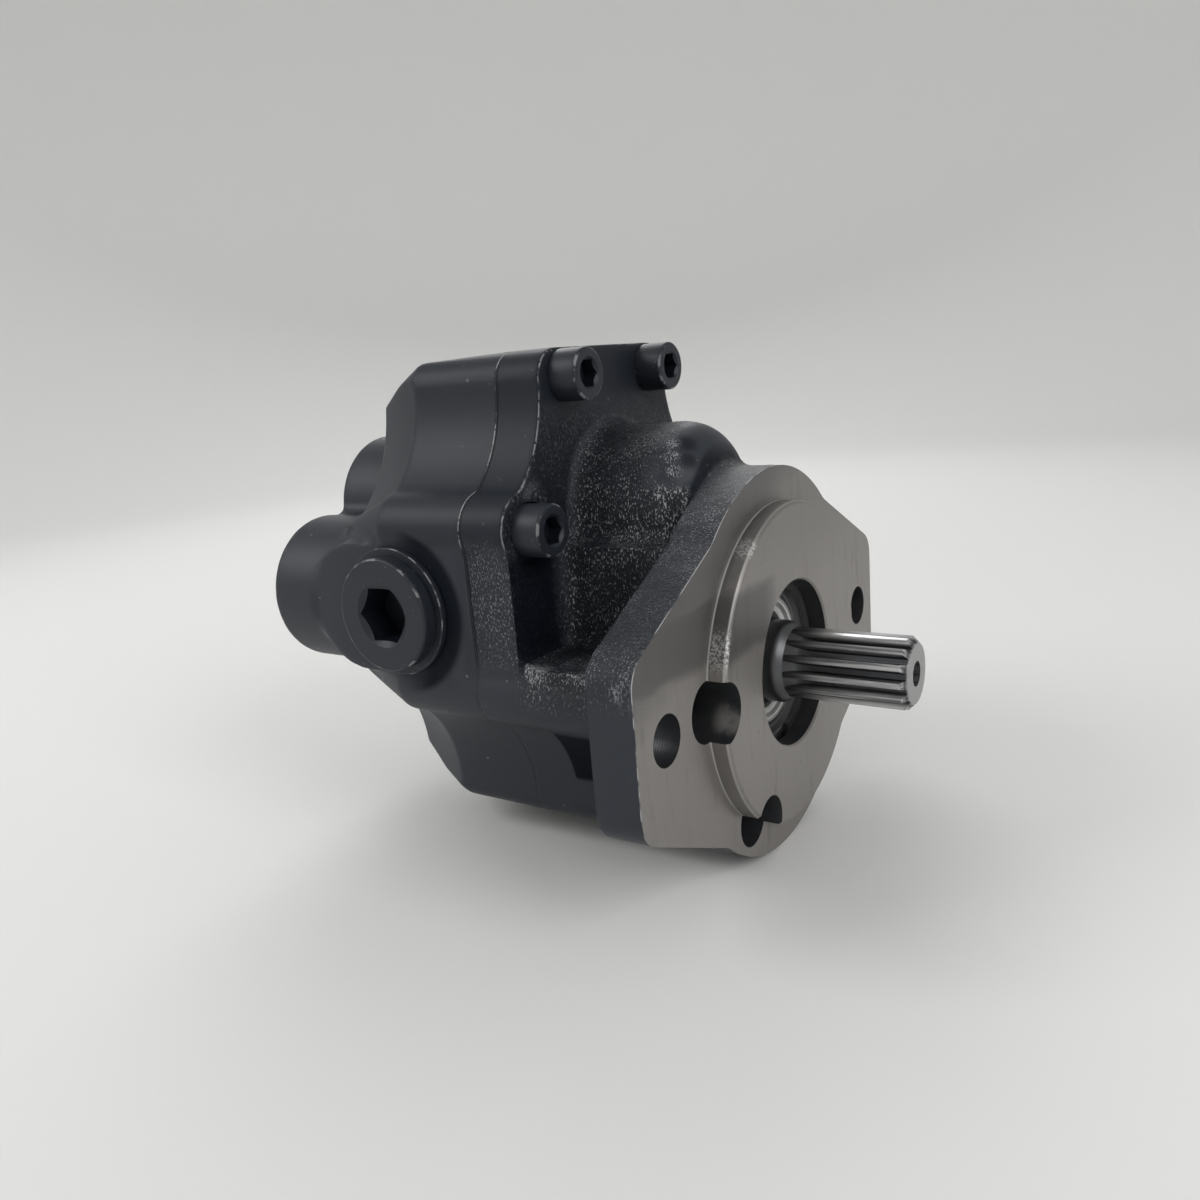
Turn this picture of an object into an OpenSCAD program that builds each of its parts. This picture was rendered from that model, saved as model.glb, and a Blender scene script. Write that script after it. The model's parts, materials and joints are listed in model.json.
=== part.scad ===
// External gear pump with a two-bolt pilot flange and a splined drive shaft.
// +X runs out of the mounting face along the drive shaft, +Z points from the drive gear to the driven gear.
// The origin is the centre of the mounting face on the drive shaft's axis.

/* [Mounting flange] */
// Diameter of the pilot that centres the pump
pilot_d = 101.6; // [98:0.1:106]
// Height of the pilot in front of the mounting face
pilot_h = 6; // [4:0.5:9.5]
// Distance between the two mounting holes
mount_pitch = 146; // [140:1:150]
// Diameter of each mounting hole
mount_hole_d = 14.3; // [12:0.1:15]
// Radius of the round middle of the flange
flange_r = 61.6; // [60:0.2:64]
// Distance of the ears' straight edges from the shaft's axis
ear_edge_r = 59; // [57:0.5:60]
// Half length of the flange across its two ears
ear_reach = 88; // [86:0.5:92]
// Radius of the ears' corners
ear_corner_r = 9.5; // [6:0.5:12]
// Distance of each ear's corner centre from the flange's long axis
ear_corner_z = 17; // [14:0.5:20]
// Thickness of the mounting flange
flange_t = 14.5; // [12:0.5:18]

/* [Shaft end] */
// Number of spline teeth
spline_teeth = 13; // [11:1:15]
// Outer diameter of the spline
spline_d = 22.2; // [20:0.1:23]
// Depth of the spaces between the spline teeth
spline_depth = 1.9; // [1.2:0.1:2.2]
// Width of each spline tooth at its top
spline_top_w = 1.9; // [1.4:0.1:2.2]
// Width of each spline tooth at its foot
spline_foot_w = 2.9; // [2.4:0.1:3.4]
// How far the shaft reaches in front of the mounting face
shaft_reach = 43; // [36:1:60]
// Length of the spline
spline_len = 38; // [28:1:40]
// Diameter of the centre hole in the shaft's end
centre_hole_d = 7.6; // [4:0.1:9]
// Depth of the centre hole
centre_hole_depth = 9; // [5:1:14]
// Diameter of the collar behind the spline
collar_d = 26; // [25:0.5:28]

/* [Gears] */
// Distance between the two gear axes
gear_c = 50; // [49:0.5:51]
// Teeth on each gear
gear_teeth = 12; // [11:1:13]
// Pressure angle of the teeth
pressure_angle = 28; // [26:1:30]
// Face width of the gears
gear_w = 30; // [24:1:34]
// Backlash taken off each tooth at the pitch circle
backlash = 0.4; // [0.3:0.05:0.6]
// Diameter of the bearing journals
journal_d = 28; // [25:0.5:30]

/* [Bearings and plates] */
// Outer diameter of the bearing bushes
bush_d = 36; // [34:0.5:38]
// Length of the bearing bushes
bush_len = 28; // [22:1:32]
// Thickness of the pressure plates
plate_t = 7; // [6:0.5:8]
// Cord thickness of the seals in the plates and the joint
seal_cord = 2.6; // [2:0.1:3]

/* [Housing] */
// Distance from the mounting face back to the front of the joint flange
joint_front = 56.6; // [54:0.5:60]
// Thickness of the cover's joint flange
joint_t = 16.4; // [14:0.2:20]
// Length of the gear housing behind the joint
housing_len = 64; // [60:0.5:68]
// Length of the housing's straight stretch, before its rear tapers
straight_len = 34; // [30:0.5:38]
// How far the rear of the housing tapers inwards
taper_in = 13; // [8:0.5:14]
// How far the housing's top and bottom slope inwards along the straight stretch
draft_in = 1; // [0.2:0.1:1.5]
// Half width of the housing's top and bottom blocks
block_half_w = 37.8; // [37:0.2:40]
// Half height of the housing
block_half_h = 77.2; // [76:0.2:80]
// Radius of the blocks' corners
block_corner_r = 10; // [8:0.5:12]
// Radius of the hollow flares between the blocks and the waist
flare_r = 40; // [36:1:42]
// Half width of the housing's waist
waist_half_w = 60.5; // [60:0.5:63]
// Chamfer round the rear of the housing
rear_chamfer = 3; // [1:0.5:4]
// Radius of the hubs over the rear bearings
rear_hub_r = 26; // [24:0.1:26.5]
// Rounding of the rear hubs' ends
hub_round_r = 2; // [1:0.5:4]
// Length of the rear hubs and port barrels behind the housing
rear_reach = 26; // [24:0.5:30]
// Radius of the hubs over the front bearings
front_hub_r = 26.3; // [25:0.1:27]
// Distance from the mounting face back to where the upper hub's dome ends
dome_setback = 15; // [10:0.5:16]
// Rounding radius of the upper hub's dome
dome_r = 15; // [10:0.5:18]
// Half width of the cover's neck
neck_half_w = 33; // [31:0.5:35]
// Height of the shelf over the neck's lower half
shelf_z = 10; // [9:0.5:12]
// Length of the neck's full-width stretch behind the joint flange
full_neck_len = 17; // [10:0.5:24]
// Radius of the cast nub beside the upper side screw
nub_r = 3.2; // [2:0.1:4]
// Distance of the nub from that screw's axis
nub_reach = 9.4; // [8:0.1:13]
// Height of the nub over the joint flange
nub_h = 3; // [1:0.5:6]

/* [Ports] */
// Outer radius of the rear port barrels
barrel_r = 25.8; // [25:0.1:27]
// Distance of each barrel's axis from the middle of the pump
barrel_y = 36.5; // [35:0.5:38]
// Thread diameter in the rear suction port
suction_thread_d = 39; // [33:0.1:40]
// Thread diameter in the rear pressure port
pressure_thread_d = 30.3; // [24:0.1:33]
// Depth of the rear port threads
port_thread_len = 24; // [18:1:28]
// Diameter of the passages behind the threads
passage_d = 26; // [20:0.5:28]
// Half height of the flat pads round the side ports
pad_r = 21.6; // [21:0.2:23]
// How far the pads stand out of the waist
pad_rise = 1; // [0.5:0.1:1.5]
// Distance from the joint back to the side port axis
side_port_setback = 30.5; // [29:0.5:32]
// Distance from the joint back to the centre of the pad's round rear end
pad_end_setback = 48; // [46:0.5:50]
// Distance from the joint back to the pad's front edge
pad_front_setback = 3; // [2:0.5:8]
// Thread diameter of the side port plugs
plug_thread_d = 33; // [28:0.5:34]
// Length of the plugs' threads
plug_thread_len = 15; // [10:1:16]
// Diameter of the sealing washers under the plugs
washer_d = 41.6; // [40:0.2:43]
// Thickness of the sealing washers
washer_t = 2; // [1:0.1:3]
// Diameter of the plugs' heads
plug_head_d = 36.6; // [34:0.2:40]
// Height of the plugs' heads
plug_head_h = 5; // [4:0.5:8]
// Width across the flats of the plugs' sockets
plug_af = 17; // [12:1:19]
// Depth of the plugs' sockets
plug_socket_depth = 11; // [6:0.5:12]

/* [Fasteners] */
// Radius of the screw pattern round each gear axis
screw_ring_r = 50.4; // [50:0.1:51]
// Thread diameter of the cap screws
screw_d = 10; // [9:0.5:11]
// Head diameter of the cap screws
screw_head_d = 16; // [15:0.5:17]
// Head height of the cap screws
screw_head_h = 10; // [9:0.5:11]
// Length of the cap screws under the head
screw_len = 40; // [35:1:44]
// Width across the flats of the cap screws' sockets
screw_af = 8; // [7:0.5:9]
// Depth of the cap screws' sockets
screw_socket_depth = 5; // [4:0.5:6]
// Diameter of the access hole for the recessed side screw
side_access_d = 18; // [17.5:0.1:19]
// Diameter of the access hole for the recessed bottom screw
low_access_d = 17; // [16.8:0.1:18]
// Radius of the cast bosses round the side screws
boss_r = 11.8; // [11:0.1:13]
// Radius of the cast boss round the recessed bottom screw
low_boss_r = 10; // [9.8:0.1:11]
// Diameter of the dowel pins in the joint
dowel_d = 8; // [6:0.5:9]
// Length of the dowel pins
dowel_len = 16; // [12:1:20]
// Distance of each dowel pin from the middle of the pump
dowel_y = 50; // [48:0.5:51]

/* [Shaft seal] */
// Bore for the shaft seal
seal_bore_d = 52.4; // [50:0.1:54]
// Distance of the seal's seat behind the mounting face
seal_seat = 10; // [8:0.5:12]
// Height of the seal's case
seal_h = 8; // [6:0.5:9]
// Thickness of the retaining ring in front of the seal
snap_t = 1.5; // [1.2:0.1:2]
// Depth of the retaining ring's groove
snap_depth = 1.5; // [1:0.1:2]

/* [Fits] */
// Radial clearance of the journals in their bushes
journal_gap = 0.05; // [0.03:0.01:0.08]
// Radial clearance between gear tips and the housing
tip_gap = 0.3; // [0.2:0.05:0.4]
// Gap at each side of the gears
side_gap = 0.1; // [0.05:0.01:0.2]
// Radial clearance of bushes, pins and seals in their seats
seat_gap = 0.03; // [0.01:0.01:0.05]
// Clearance round parts that turn past fixed ones
run_gap = 0.5; // [0.3:0.1:0.8]

/* [Hidden] */
$fn = 96;

// Overlap that keeps cuts and joins clean
eps = 0.01;
// Planes along the shaft, all behind the mounting face
joint_x = -joint_front - joint_t;
taper_x = joint_x - straight_len;
housing_back = joint_x - housing_len;
taper_len = housing_len - straight_len;
rear_end = housing_back - rear_reach;
// Middle between the two gear axes
mid_z = gear_c / 2;
// Gear proportions
gear_module = gear_c / gear_teeth;
tip_r = gear_c / 2 + gear_module;
root_r = gear_c / 2 - 1.25 * gear_module;
base_r = gear_c / 2 * cos(pressure_angle);
chamber_r = tip_r + tip_gap;
// Gear chamber, from the joint back to its floor
chamber_len = 2 * plate_t + gear_w + 2 * side_gap;
gear_front = joint_x - plate_t - side_gap;
gear_back = gear_front - gear_w;
chamber_floor = joint_x - chamber_len;
// Bearing bores, from the chamber's two ends
bush_bore_len = bush_len + run_gap;
rear_bore_end = chamber_floor - bush_bore_len;
front_bore_end = joint_x + bush_bore_len;
// Screws: two at the top, two at each side, two at the bottom
screw_top_y = screw_ring_r * sin(30);
screw_top_dz = screw_ring_r * cos(30);
top_screws = [[-screw_top_y, gear_c + screw_top_dz], [screw_top_y, gear_c + screw_top_dz]];
side_screws = [[-screw_ring_r, gear_c], [screw_ring_r, gear_c]];
recessed_screws = [[-screw_ring_r, 0], [-screw_top_y, -screw_top_dz]];
far_screws = [[screw_ring_r, 0], [screw_top_y, -screw_top_dz]];
all_screws = concat(top_screws, side_screws, recessed_screws, far_screws);
boss_places = concat(side_screws, [recessed_screws[0], far_screws[0]]);
screw_clear_d = screw_d + 1;
screw_tap_depth = screw_len - joint_t + 3;
// Hollow flares run from the blocks' corners to 45 degrees
flare_top = block_half_h - block_corner_r;
flare_end_y = block_half_w + flare_r * (1 - cos(45));
flare_end_z = flare_top - flare_r * sin(45);
shoulder_z = flare_end_z - (waist_half_w - flare_end_y);
shoulder_top = flare_end_z + flare_end_y - block_half_w;
// Distances of the rear's slanting faces from its middle, and how far clear of the round corners they start
corner_slack = 0.3;
shoulder_dist = (flare_end_y + flare_end_z) / sqrt(2);
corner_dist = (block_half_w + block_half_h - 2 * block_corner_r) / sqrt(2) + block_corner_r + corner_slack;
// Ports
side_port_x = joint_x - side_port_setback;
pad_end_x = joint_x - pad_end_setback;
pad_y = waist_half_w + pad_rise;
// Joint seal track round the chamber
track_r = chamber_r + 3 + seal_cord / 2;
seal_squeeze = 0.8;
// Seals on the plates' backs
plate_track_r = chamber_r - 5;
plate_gap = 0.1;
// Shaft seal
seal_back = -seal_seat;
seal_front = seal_back + seal_h;
collar_front = shaft_reach - spline_len - 2;
sealed_d = collar_d - 1;
// Broken edge along each spline tooth, and the turn of the spline at rest
tooth_edge = 0.2;
spline_turn = 18;
// Larger than the pump, for cutting planes
far = 200;
// Web between the rear hubs and barrels, set back from their ends and sides
web_setback = 6;
web_side = 12;
// Gap between a side plug's washer and its pad
washer_gap = 0.02;
// Gap between a screw's head and its spot face
spot_gap = 0.4;
// Direction of the nub from its screw, from the vertical
nub_angle = 29;
// How far below the driven gear's axis the neck's middle ends, inside the upper hub
hub_overlap = 8;
// Width of the gap in the seal's retaining ring
ring_gap = 10;

// Extrudes a y, z outline along the shaft
module along_x(x0, len) {
    translate([x0, 0, 0])
        rotate([90, 0, 90])
            linear_extrude(len)
                children();
}

// Round bar along the shaft
module bar_x(x0, len, r, y = 0, z = 0) {
    translate([x0, y, z])
        rotate([0, 90, 0])
            cylinder(h = len, r = r);
}

// Turned solid about a line along the shaft, from an outline of x and radius
module turned_x(outline, y = 0, z = 0) {
    translate([0, y, z])
        rotate([0, 90, 0])
            rotate_extrude()
                polygon([for (p = outline) [p[1], p[0]]]);
}

// Both gear axes
module at_gear_axes() {
    for (z = [0, gear_c])
        translate([0, 0, z])
            children();
}

// Rectangle about the middle of the housing with round corners
module block_2d(half_w, half_h, r) {
    translate([-half_w + r, mid_z - half_h])
        square([2 * (half_w - r), 2 * half_h]);
    translate([-half_w, mid_z - half_h + r])
        square([2 * half_w, 2 * (half_h - r)]);
    for (sy = [-1, 1], sz = [-1, 1])
        translate([sy * (half_w - r), mid_z + sz * (half_h - r)])
            circle(r);
}

// Hollow flare from a block down to the waist, one side
module flare_2d(sy, sz) {
    difference() {
        polygon([
            [sy * (block_half_w - 1), mid_z],
            [sy * waist_half_w, mid_z],
            [sy * waist_half_w, mid_z + sz * shoulder_z],
            [sy * flare_end_y, mid_z + sz * flare_end_z],
            [sy * (block_half_w - 1), mid_z + sz * (flare_top + eps)]
        ]);
        translate([sy * (block_half_w + flare_r), mid_z + sz * flare_top])
            circle(flare_r);
    }
}

// Outline of the body without its screw bosses
module body_2d() {
    block_2d(block_half_w, block_half_h, block_corner_r);
    for (sy = [-1, 1], sz = [-1, 1])
        flare_2d(sy, sz);
}

// Outline shared by the joint flange and the gear housing
module joint_2d() {
    body_2d();
    for (p = boss_places)
        translate(p)
            circle(boss_r);
}

// Outline of the two-bolt flange: round middle and two ears with tangent edges
module flange_2d() {
    ear_y = ear_reach - ear_corner_r;
    ear_dist = sqrt(ear_y * ear_y + ear_corner_z * ear_corner_z);
    normal = atan2(ear_corner_z, ear_y) + acos((ear_edge_r - ear_corner_r) / ear_dist);
    circle(flange_r);
    for (sy = [-1, 1]) {
        polygon([
            [0, 0],
            [sy * ear_edge_r * cos(normal), ear_edge_r * sin(normal)],
            [sy * (ear_y + ear_corner_r * cos(normal)), ear_corner_z + ear_corner_r * sin(normal)],
            [sy * ear_y, ear_corner_z],
            [sy * ear_y, -ear_corner_z],
            [sy * (ear_y + ear_corner_r * cos(normal)), -ear_corner_z - ear_corner_r * sin(normal)],
            [sy * ear_edge_r * cos(normal), -ear_edge_r * sin(normal)]
        ]);
        for (sz = [-1, 1])
            translate([sy * ear_y, sz * ear_corner_z])
                circle(ear_corner_r);
        translate([sy * (ear_y + ear_corner_r / 2), 0])
            square([ear_corner_r, 2 * ear_corner_z], center = true);
    }
}

// Stretched ring outline round both gear axes
module track_2d(r) {
    circle(r);
    translate([0, gear_c])
        circle(r);
    translate([-r, 0])
        square([2 * r, gear_c]);
}

// Seal cord laid in a stretched ring round both gear axes
module track_cord(x, r, cord_r) {
    for (side = [0, 1])
        translate([x, 0, side * gear_c])
            rotate([0, 90, 0])
                rotate([0, 0, 90 + 180 * (1 - side)])
                    rotate_extrude(angle = 180)
                        translate([r, 0])
                            circle(cord_r, $fn = 24);
    for (sy = [-1, 1])
        translate([x, sy * r, 0])
            cylinder(h = gear_c, r = cord_r, $fn = 24);
}

// Hexagonal socket along the shaft
module socket_x(x0, depth, af) {
    translate([x0, 0, 0])
        rotate([0, 90, 0])
            cylinder(h = depth, d = af / cos(30), $fn = 6);
}

// Cap screw with its head's seat at x = 0 and its thread towards -X
module cap_screw() {
    difference() {
        turned_x([
            [-screw_len, 0], [-screw_len, screw_d / 2 - 1], [-screw_len + 1, screw_d / 2],
            [0, screw_d / 2], [0, screw_head_d / 2], [screw_head_h - 0.8, screw_head_d / 2],
            [screw_head_h, screw_head_d / 2 - 0.8], [screw_head_h, 0]
        ]);
        socket_x(screw_head_h - screw_socket_depth, screw_socket_depth + 1, screw_af);
    }
}

// One cap screw at each listed place on the joint flange
module screws_at(places) {
    for (p = places)
        translate([-joint_front, p[0], p[1]])
            cap_screw();
}

// Places what is drawn for the suction side on the side sy: -1 for suction, 1 for pressure
module on_side(sy) {
    if (sy < 0)
        children();
    else
        mirror([0, 1, 0])
            children();
}

// Involute point on a tooth flank at radius r
function inv_angle(r) = let(a = acos(min(1, base_r / r))) tan(a) * 180 / PI - a;
// Half of the tooth's angle at radius r, less half the backlash
function half_tooth(r) =
    90 / gear_teeth - backlash / gear_c * 180 / PI + inv_angle(gear_c / 2) - inv_angle(max(r, base_r));
// One tooth from root to root, turned by angle a
function tooth_points(a) = let(
    flank = [for (i = [0 : 5]) base_r + (tip_r - base_r) * i / 5]
) concat(
    [let(h = half_tooth(base_r)) root_r * [cos(a - h - 1), sin(a - h - 1)]],
    [for (r = flank) let(h = half_tooth(r)) r * [cos(a - h), sin(a - h)]],
    [for (i = [5 : -1 : 0]) let(r = flank[i], h = half_tooth(r)) r * [cos(a + h), sin(a + h)]],
    [let(h = half_tooth(base_r)) root_r * [cos(a + h + 1), sin(a + h + 1)]]
);

// Spur gear outline with one tooth at angle phase
module gear_2d(phase) {
    polygon([for (k = [0 : gear_teeth - 1]) each tooth_points(phase + 360 * k / gear_teeth)]);
}

// Gear and its two journals, drawn about its own axis
module gear_on_journals(phase, front_x) {
    back_x = rear_bore_end + run_gap;
    along_x(gear_back, gear_w)
        gear_2d(phase);
    bar_x(gear_front - 1, front_x - gear_front + 1, journal_d / 2);
    turned_x([
        [back_x, 0], [back_x, journal_d / 2 - 1], [back_x + 1, journal_d / 2],
        [gear_back + 1, journal_d / 2], [gear_back + 1, 0]
    ]);
}

// Spline outline: straight-sided teeth round a root circle
module spline_2d() {
    root = spline_d / 2 - spline_depth;
    circle(root);
    for (k = [0 : spline_teeth - 1])
        rotate(spline_turn + 360 * k / spline_teeth)
            polygon([
                [0, -spline_foot_w / 2], [root, -spline_foot_w / 2], [spline_d / 2 - tooth_edge, -spline_top_w / 2],
                [spline_d / 2, tooth_edge - spline_top_w / 2], [spline_d / 2, spline_top_w / 2 - tooth_edge],
                [spline_d / 2 - tooth_edge, spline_top_w / 2], [root, spline_foot_w / 2], [0, spline_foot_w / 2]
            ]);
}

// Everything under the shelf on the suction side
module below_shelf_2d() {
    translate([-far, -far])
        square([far, far + shelf_z]);
}

module front_cover() {
    hub_len = joint_front - flange_t;
    color("#34383d")
    difference() {
        union() {
            // Mounting flange and pilot
            along_x(-flange_t, flange_t)
                flange_2d();
            turned_x([
                [-1, 0], [-1, pilot_d / 2], [pilot_h - 0.8, pilot_d / 2],
                [pilot_h, pilot_d / 2 - 0.8], [pilot_h, 0]
            ]);
            // Joint flange
            along_x(joint_x, joint_t)
                joint_2d();
            // Hubs over the front bearings, the upper one with a dome
            bar_x(-joint_front - 1, hub_len + 2, neck_half_w);
            translate([0, 0, gear_c]) {
                bar_x(-joint_front - 1, joint_front + 1 - dome_setback - dome_r, front_hub_r);
                bar_x(-dome_setback - dome_r - 1, dome_r + 1, front_hub_r - dome_r);
                translate([-dome_setback - dome_r, 0, 0])
                    rotate([0, 90, 0])
                        rotate_extrude()
                            translate([front_hub_r - dome_r, 0])
                                intersection() {
                                    circle(dome_r);
                                    square(dome_r);
                                }
            }
            // Neck between the hubs and its full-width lower half on the suction side
            along_x(-joint_front - 1, hub_len + 2)
                translate([-neck_half_w, 0])
                    square([2 * neck_half_w, gear_c - hub_overlap]);
            along_x(-joint_front - 1, hub_len + 2)
                intersection() {
                    union() {
                        block_2d(block_half_w, block_half_h, block_corner_r);
                        translate(recessed_screws[0])
                            circle(boss_r);
                        translate(recessed_screws[1])
                            circle(low_boss_r);
                        translate([-screw_ring_r, -boss_r])
                            square([screw_ring_r, shelf_z + boss_r]);
                        translate([-waist_half_w, 0])
                            square([waist_half_w, shelf_z]);
                    }
                    below_shelf_2d();
                }
            along_x(-joint_front - 1, full_neck_len + 1)
                intersection() {
                    joint_2d();
                    below_shelf_2d();
                }
            // Cast nub beside the upper side screw
            bar_x(
                -joint_front - 1, nub_h + 1, nub_r,
                -screw_ring_r + nub_reach * sin(nub_angle), gear_c + nub_reach * cos(nub_angle)
            );
        }
        // Mounting holes
        for (sy = [-1, 1])
            bar_x(-flange_t - 1, flange_t + 2, mount_hole_d / 2, sy * mount_pitch / 2);
        // Bearing bores, opening at the joint
        at_gear_axes()
            bar_x(joint_x - 1, bush_bore_len + 1, bush_d / 2 + seat_gap);
        // Seal bore with the groove for its retaining ring
        bar_x(seal_back, seal_seat + pilot_h + 1, seal_bore_d / 2);
        bar_x(seal_front, snap_t + 2 * side_gap, seal_bore_d / 2 + snap_depth + side_gap);
        // Shaft passage between the bearing and the seal
        bar_x(front_bore_end - 1, seal_back - front_bore_end + 2, journal_d / 2 + run_gap);
        // Screw holes
        for (p = all_screws)
            bar_x(joint_x - 1, joint_t + 2, screw_clear_d / 2, p[0], p[1]);
        // Access holes down to the recessed screws
        bar_x(-joint_front, joint_front + pilot_h + 1, side_access_d / 2, recessed_screws[0][0], recessed_screws[0][1]);
        bar_x(-joint_front, joint_front + pilot_h + 1, low_access_d / 2, recessed_screws[1][0], recessed_screws[1][1]);
        // Spot face that clears the head of the screw beside the nub
        bar_x(-joint_front, nub_h + 1, screw_head_d / 2 + spot_gap, -screw_ring_r, gear_c);
        // Dowel holes
        for (sy = [-1, 1])
            bar_x(joint_x - 1, dowel_len / 2 + 1.5, dowel_d / 2 + seat_gap, sy * dowel_y, mid_z);
    }
}

// Everything nearer the middle than two parallel faces, which taper inwards at the housing's rear
module between_faces(angle, dist) {
    translate([0, 0, mid_z])
        rotate([angle + 90, 0, 0])
            linear_extrude(far, center = true)
                polygon([
                    [taper_x + 1, dist], [taper_x, dist], [housing_back + rear_chamfer, dist - taper_in],
                    [housing_back, dist - taper_in - rear_chamfer], [housing_back, taper_in + rear_chamfer - dist],
                    [housing_back + rear_chamfer, taper_in - dist], [taper_x, -dist], [taper_x + 1, -dist]
                ]);
}

// Fill between one block and the waist's shoulder, hollowed by a widening cone
module tapered_flare() {
    flare_y = block_half_w + flare_r;
    difference() {
        along_x(housing_back, taper_len)
            polygon([[0, flare_top - flare_y], [0, flare_top], [flare_y, flare_top]]);
        turned_x([
            [housing_back - 1, 0], [housing_back - 1, flare_r + taper_in + rear_chamfer + 1],
            [housing_back + rear_chamfer, flare_r + taper_in], [taper_x, flare_r], [taper_x + 1, flare_r],
            [taper_x + 1, 0]
        ], flare_y, flare_top);
    }
}

// Tapered rear of the housing: blocks, waist, flares and the ends of the screw bosses
module tapered_rear() {
    intersection() {
        along_x(housing_back, taper_len)
            block_2d(block_half_w, block_half_h, block_corner_r);
        between_faces(90, block_half_w);
        between_faces(45, corner_dist);
        between_faces(-45, corner_dist);
    }
    intersection() {
        translate([housing_back, -waist_half_w, mid_z - shoulder_top])
            cube([taper_len, 2 * waist_half_w, 2 * shoulder_top]);
        between_faces(90, waist_half_w);
        between_faces(45, shoulder_dist);
        between_faces(-45, shoulder_dist);
    }
    for (my = [0, 1], mz = [0, 1])
        translate([0, 0, mid_z])
            mirror([0, my, 0])
                mirror([0, 0, mz])
                    tapered_flare();
    for (p = boss_places)
        translate([taper_x, p[0], p[1]])
            rotate([0, -90, 0])
                cylinder(h = taper_len - rear_chamfer, r1 = boss_r, r2 = max(0.5, boss_r - taper_in));
}

// Side view of the housing, with drafted top and bottom and a tapered rear
module side_view_2d() {
    edge = [
        [joint_x, block_half_h], [taper_x, block_half_h - draft_in],
        [housing_back + rear_chamfer, block_half_h - draft_in - taper_in],
        [housing_back, block_half_h - draft_in - taper_in - rear_chamfer]
    ];
    polygon(concat(
        [for (p = edge) [p[0], mid_z + p[1]]],
        [for (i = [3 : -1 : 0]) [edge[i][0], mid_z - edge[i][1]]]
    ));
}

// Housing without its hubs, barrels and pads
module housing_body() {
    intersection() {
        union() {
            along_x(taper_x, straight_len)
                joint_2d();
            tapered_rear();
        }
        rotate([90, 0, 0])
            linear_extrude(far, center = true)
                side_view_2d();
    }
}

// Stadium round a side port, reaching back past the housing, from y0 inwards
module pad(sy, y0, depth) {
    on_side(sy)
        translate([0, -y0, 0])
            rotate([-90, 0, 0])
                linear_extrude(depth)
                    union() {
                        translate([pad_end_x, -mid_z - pad_r])
                            square([pad_end_setback - pad_front_setback, 2 * pad_r]);
                        translate([pad_end_x, -mid_z])
                            circle(pad_r);
                    }
}

// Round hub along the shaft from the housing back to the rear end, its end edge rounded
module rounded_hub(r) {
    bar_x(rear_end + hub_round_r, rear_reach + taper_len - hub_round_r, r);
    bar_x(rear_end, rear_reach, r - hub_round_r);
    translate([rear_end + hub_round_r, 0, 0])
        rotate([0, 90, 0])
            rotate_extrude()
                translate([r - hub_round_r, 0])
                    circle(hub_round_r);
}

module gear_housing() {
    color("#3a3f45")
    difference() {
        union() {
            housing_body();
            // Rear hubs over the bearings and the port barrels
            at_gear_axes()
                rounded_hub(rear_hub_r);
            for (sy = [-1, 1])
                translate([0, sy * barrel_y, mid_z])
                    rounded_hub(barrel_r);
            bar_x(rear_end + web_setback, rear_reach, barrel_y - web_side, 0, mid_z);
            for (sy = [-1, 1])
                pad(sy, pad_y, pad_y - barrel_y);
        }
        // Flats of the pads across the barrels
        for (sy = [-1, 1])
            pad(sy, pad_y + 5, 5);
        // Gear chamber
        at_gear_axes()
            bar_x(chamber_floor, chamber_len + 1, chamber_r);
        // Rear bearing bores
        at_gear_axes()
            bar_x(rear_bore_end, chamber_floor - rear_bore_end + 1, bush_d / 2 + seat_gap);
        // Joint seal groove
        along_x(joint_x - seal_cord * seal_squeeze, seal_cord)
            difference() {
                track_2d(track_r + seal_cord / 2 + 0.2);
                track_2d(track_r - seal_cord / 2 - 0.2);
            }
        // Tapped screw holes
        for (p = all_screws)
            bar_x(joint_x - screw_tap_depth, screw_tap_depth + 1, screw_d / 2 + seat_gap, p[0], p[1]);
        // Dowel holes
        for (sy = [-1, 1])
            bar_x(joint_x - dowel_len / 2 - 0.5, dowel_len / 2 + 1.5, dowel_d / 2 + seat_gap, sy * dowel_y, mid_z);
        // Side ports: thread, then a passage into the chamber
        for (sy = [-1, 1])
            on_side(sy)
                translate([side_port_x, -pad_y - 1, mid_z])
                    rotate([-90, 0, 0]) {
                        cylinder(h = plug_thread_len + 3, d = plug_thread_d + 2 * seat_gap);
                        cylinder(h = pad_y - 5, d = passage_d);
                    }
        // Rear ports: thread, then a passage to the side port's passage
        rear_port(-barrel_y, suction_thread_d);
        rear_port(barrel_y, pressure_thread_d);
    }
}

// Rear port with its thread and passage
module rear_port(y, thread_d) {
    bar_x(rear_end - 1, port_thread_len + 1, thread_d / 2, y, mid_z);
    bar_x(rear_end, side_port_x - rear_end, passage_d / 2, y, mid_z);
}

module drive_gear_shaft() {
    color("#8c8f92")
    difference() {
        union() {
            gear_on_journals(90, front_bore_end + run_gap);
            // Seal journal, collar and spline
            bar_x(front_bore_end, seal_back - front_bore_end, journal_d / 2);
            bar_x(seal_back - 1, collar_front - seal_back + 1 - 3, sealed_d / 2);
            turned_x([
                [seal_front + 1, 0], [seal_front + 1, collar_d / 2 - 1], [seal_front + 2, collar_d / 2],
                [collar_front - 2, collar_d / 2], [collar_front, collar_d / 2 - 2], [collar_front, 0]
            ]);
            intersection() {
                along_x(collar_front - 1, shaft_reach - collar_front + 1)
                    spline_2d();
                turned_x([
                    [collar_front - 1, 0], [collar_front - 1, spline_d], [shaft_reach - 2, spline_d],
                    [shaft_reach - 2, spline_d / 2], [shaft_reach, spline_d / 2 - 2], [shaft_reach, 0]
                ]);
            }
            bar_x(collar_front - 1, shaft_reach - spline_len - collar_front + 1, spline_d / 2 - 0.1);
        }
        // Centre hole with its cone
        bar_x(shaft_reach - centre_hole_depth, centre_hole_depth + 1, centre_hole_d / 2);
    }
}

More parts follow.
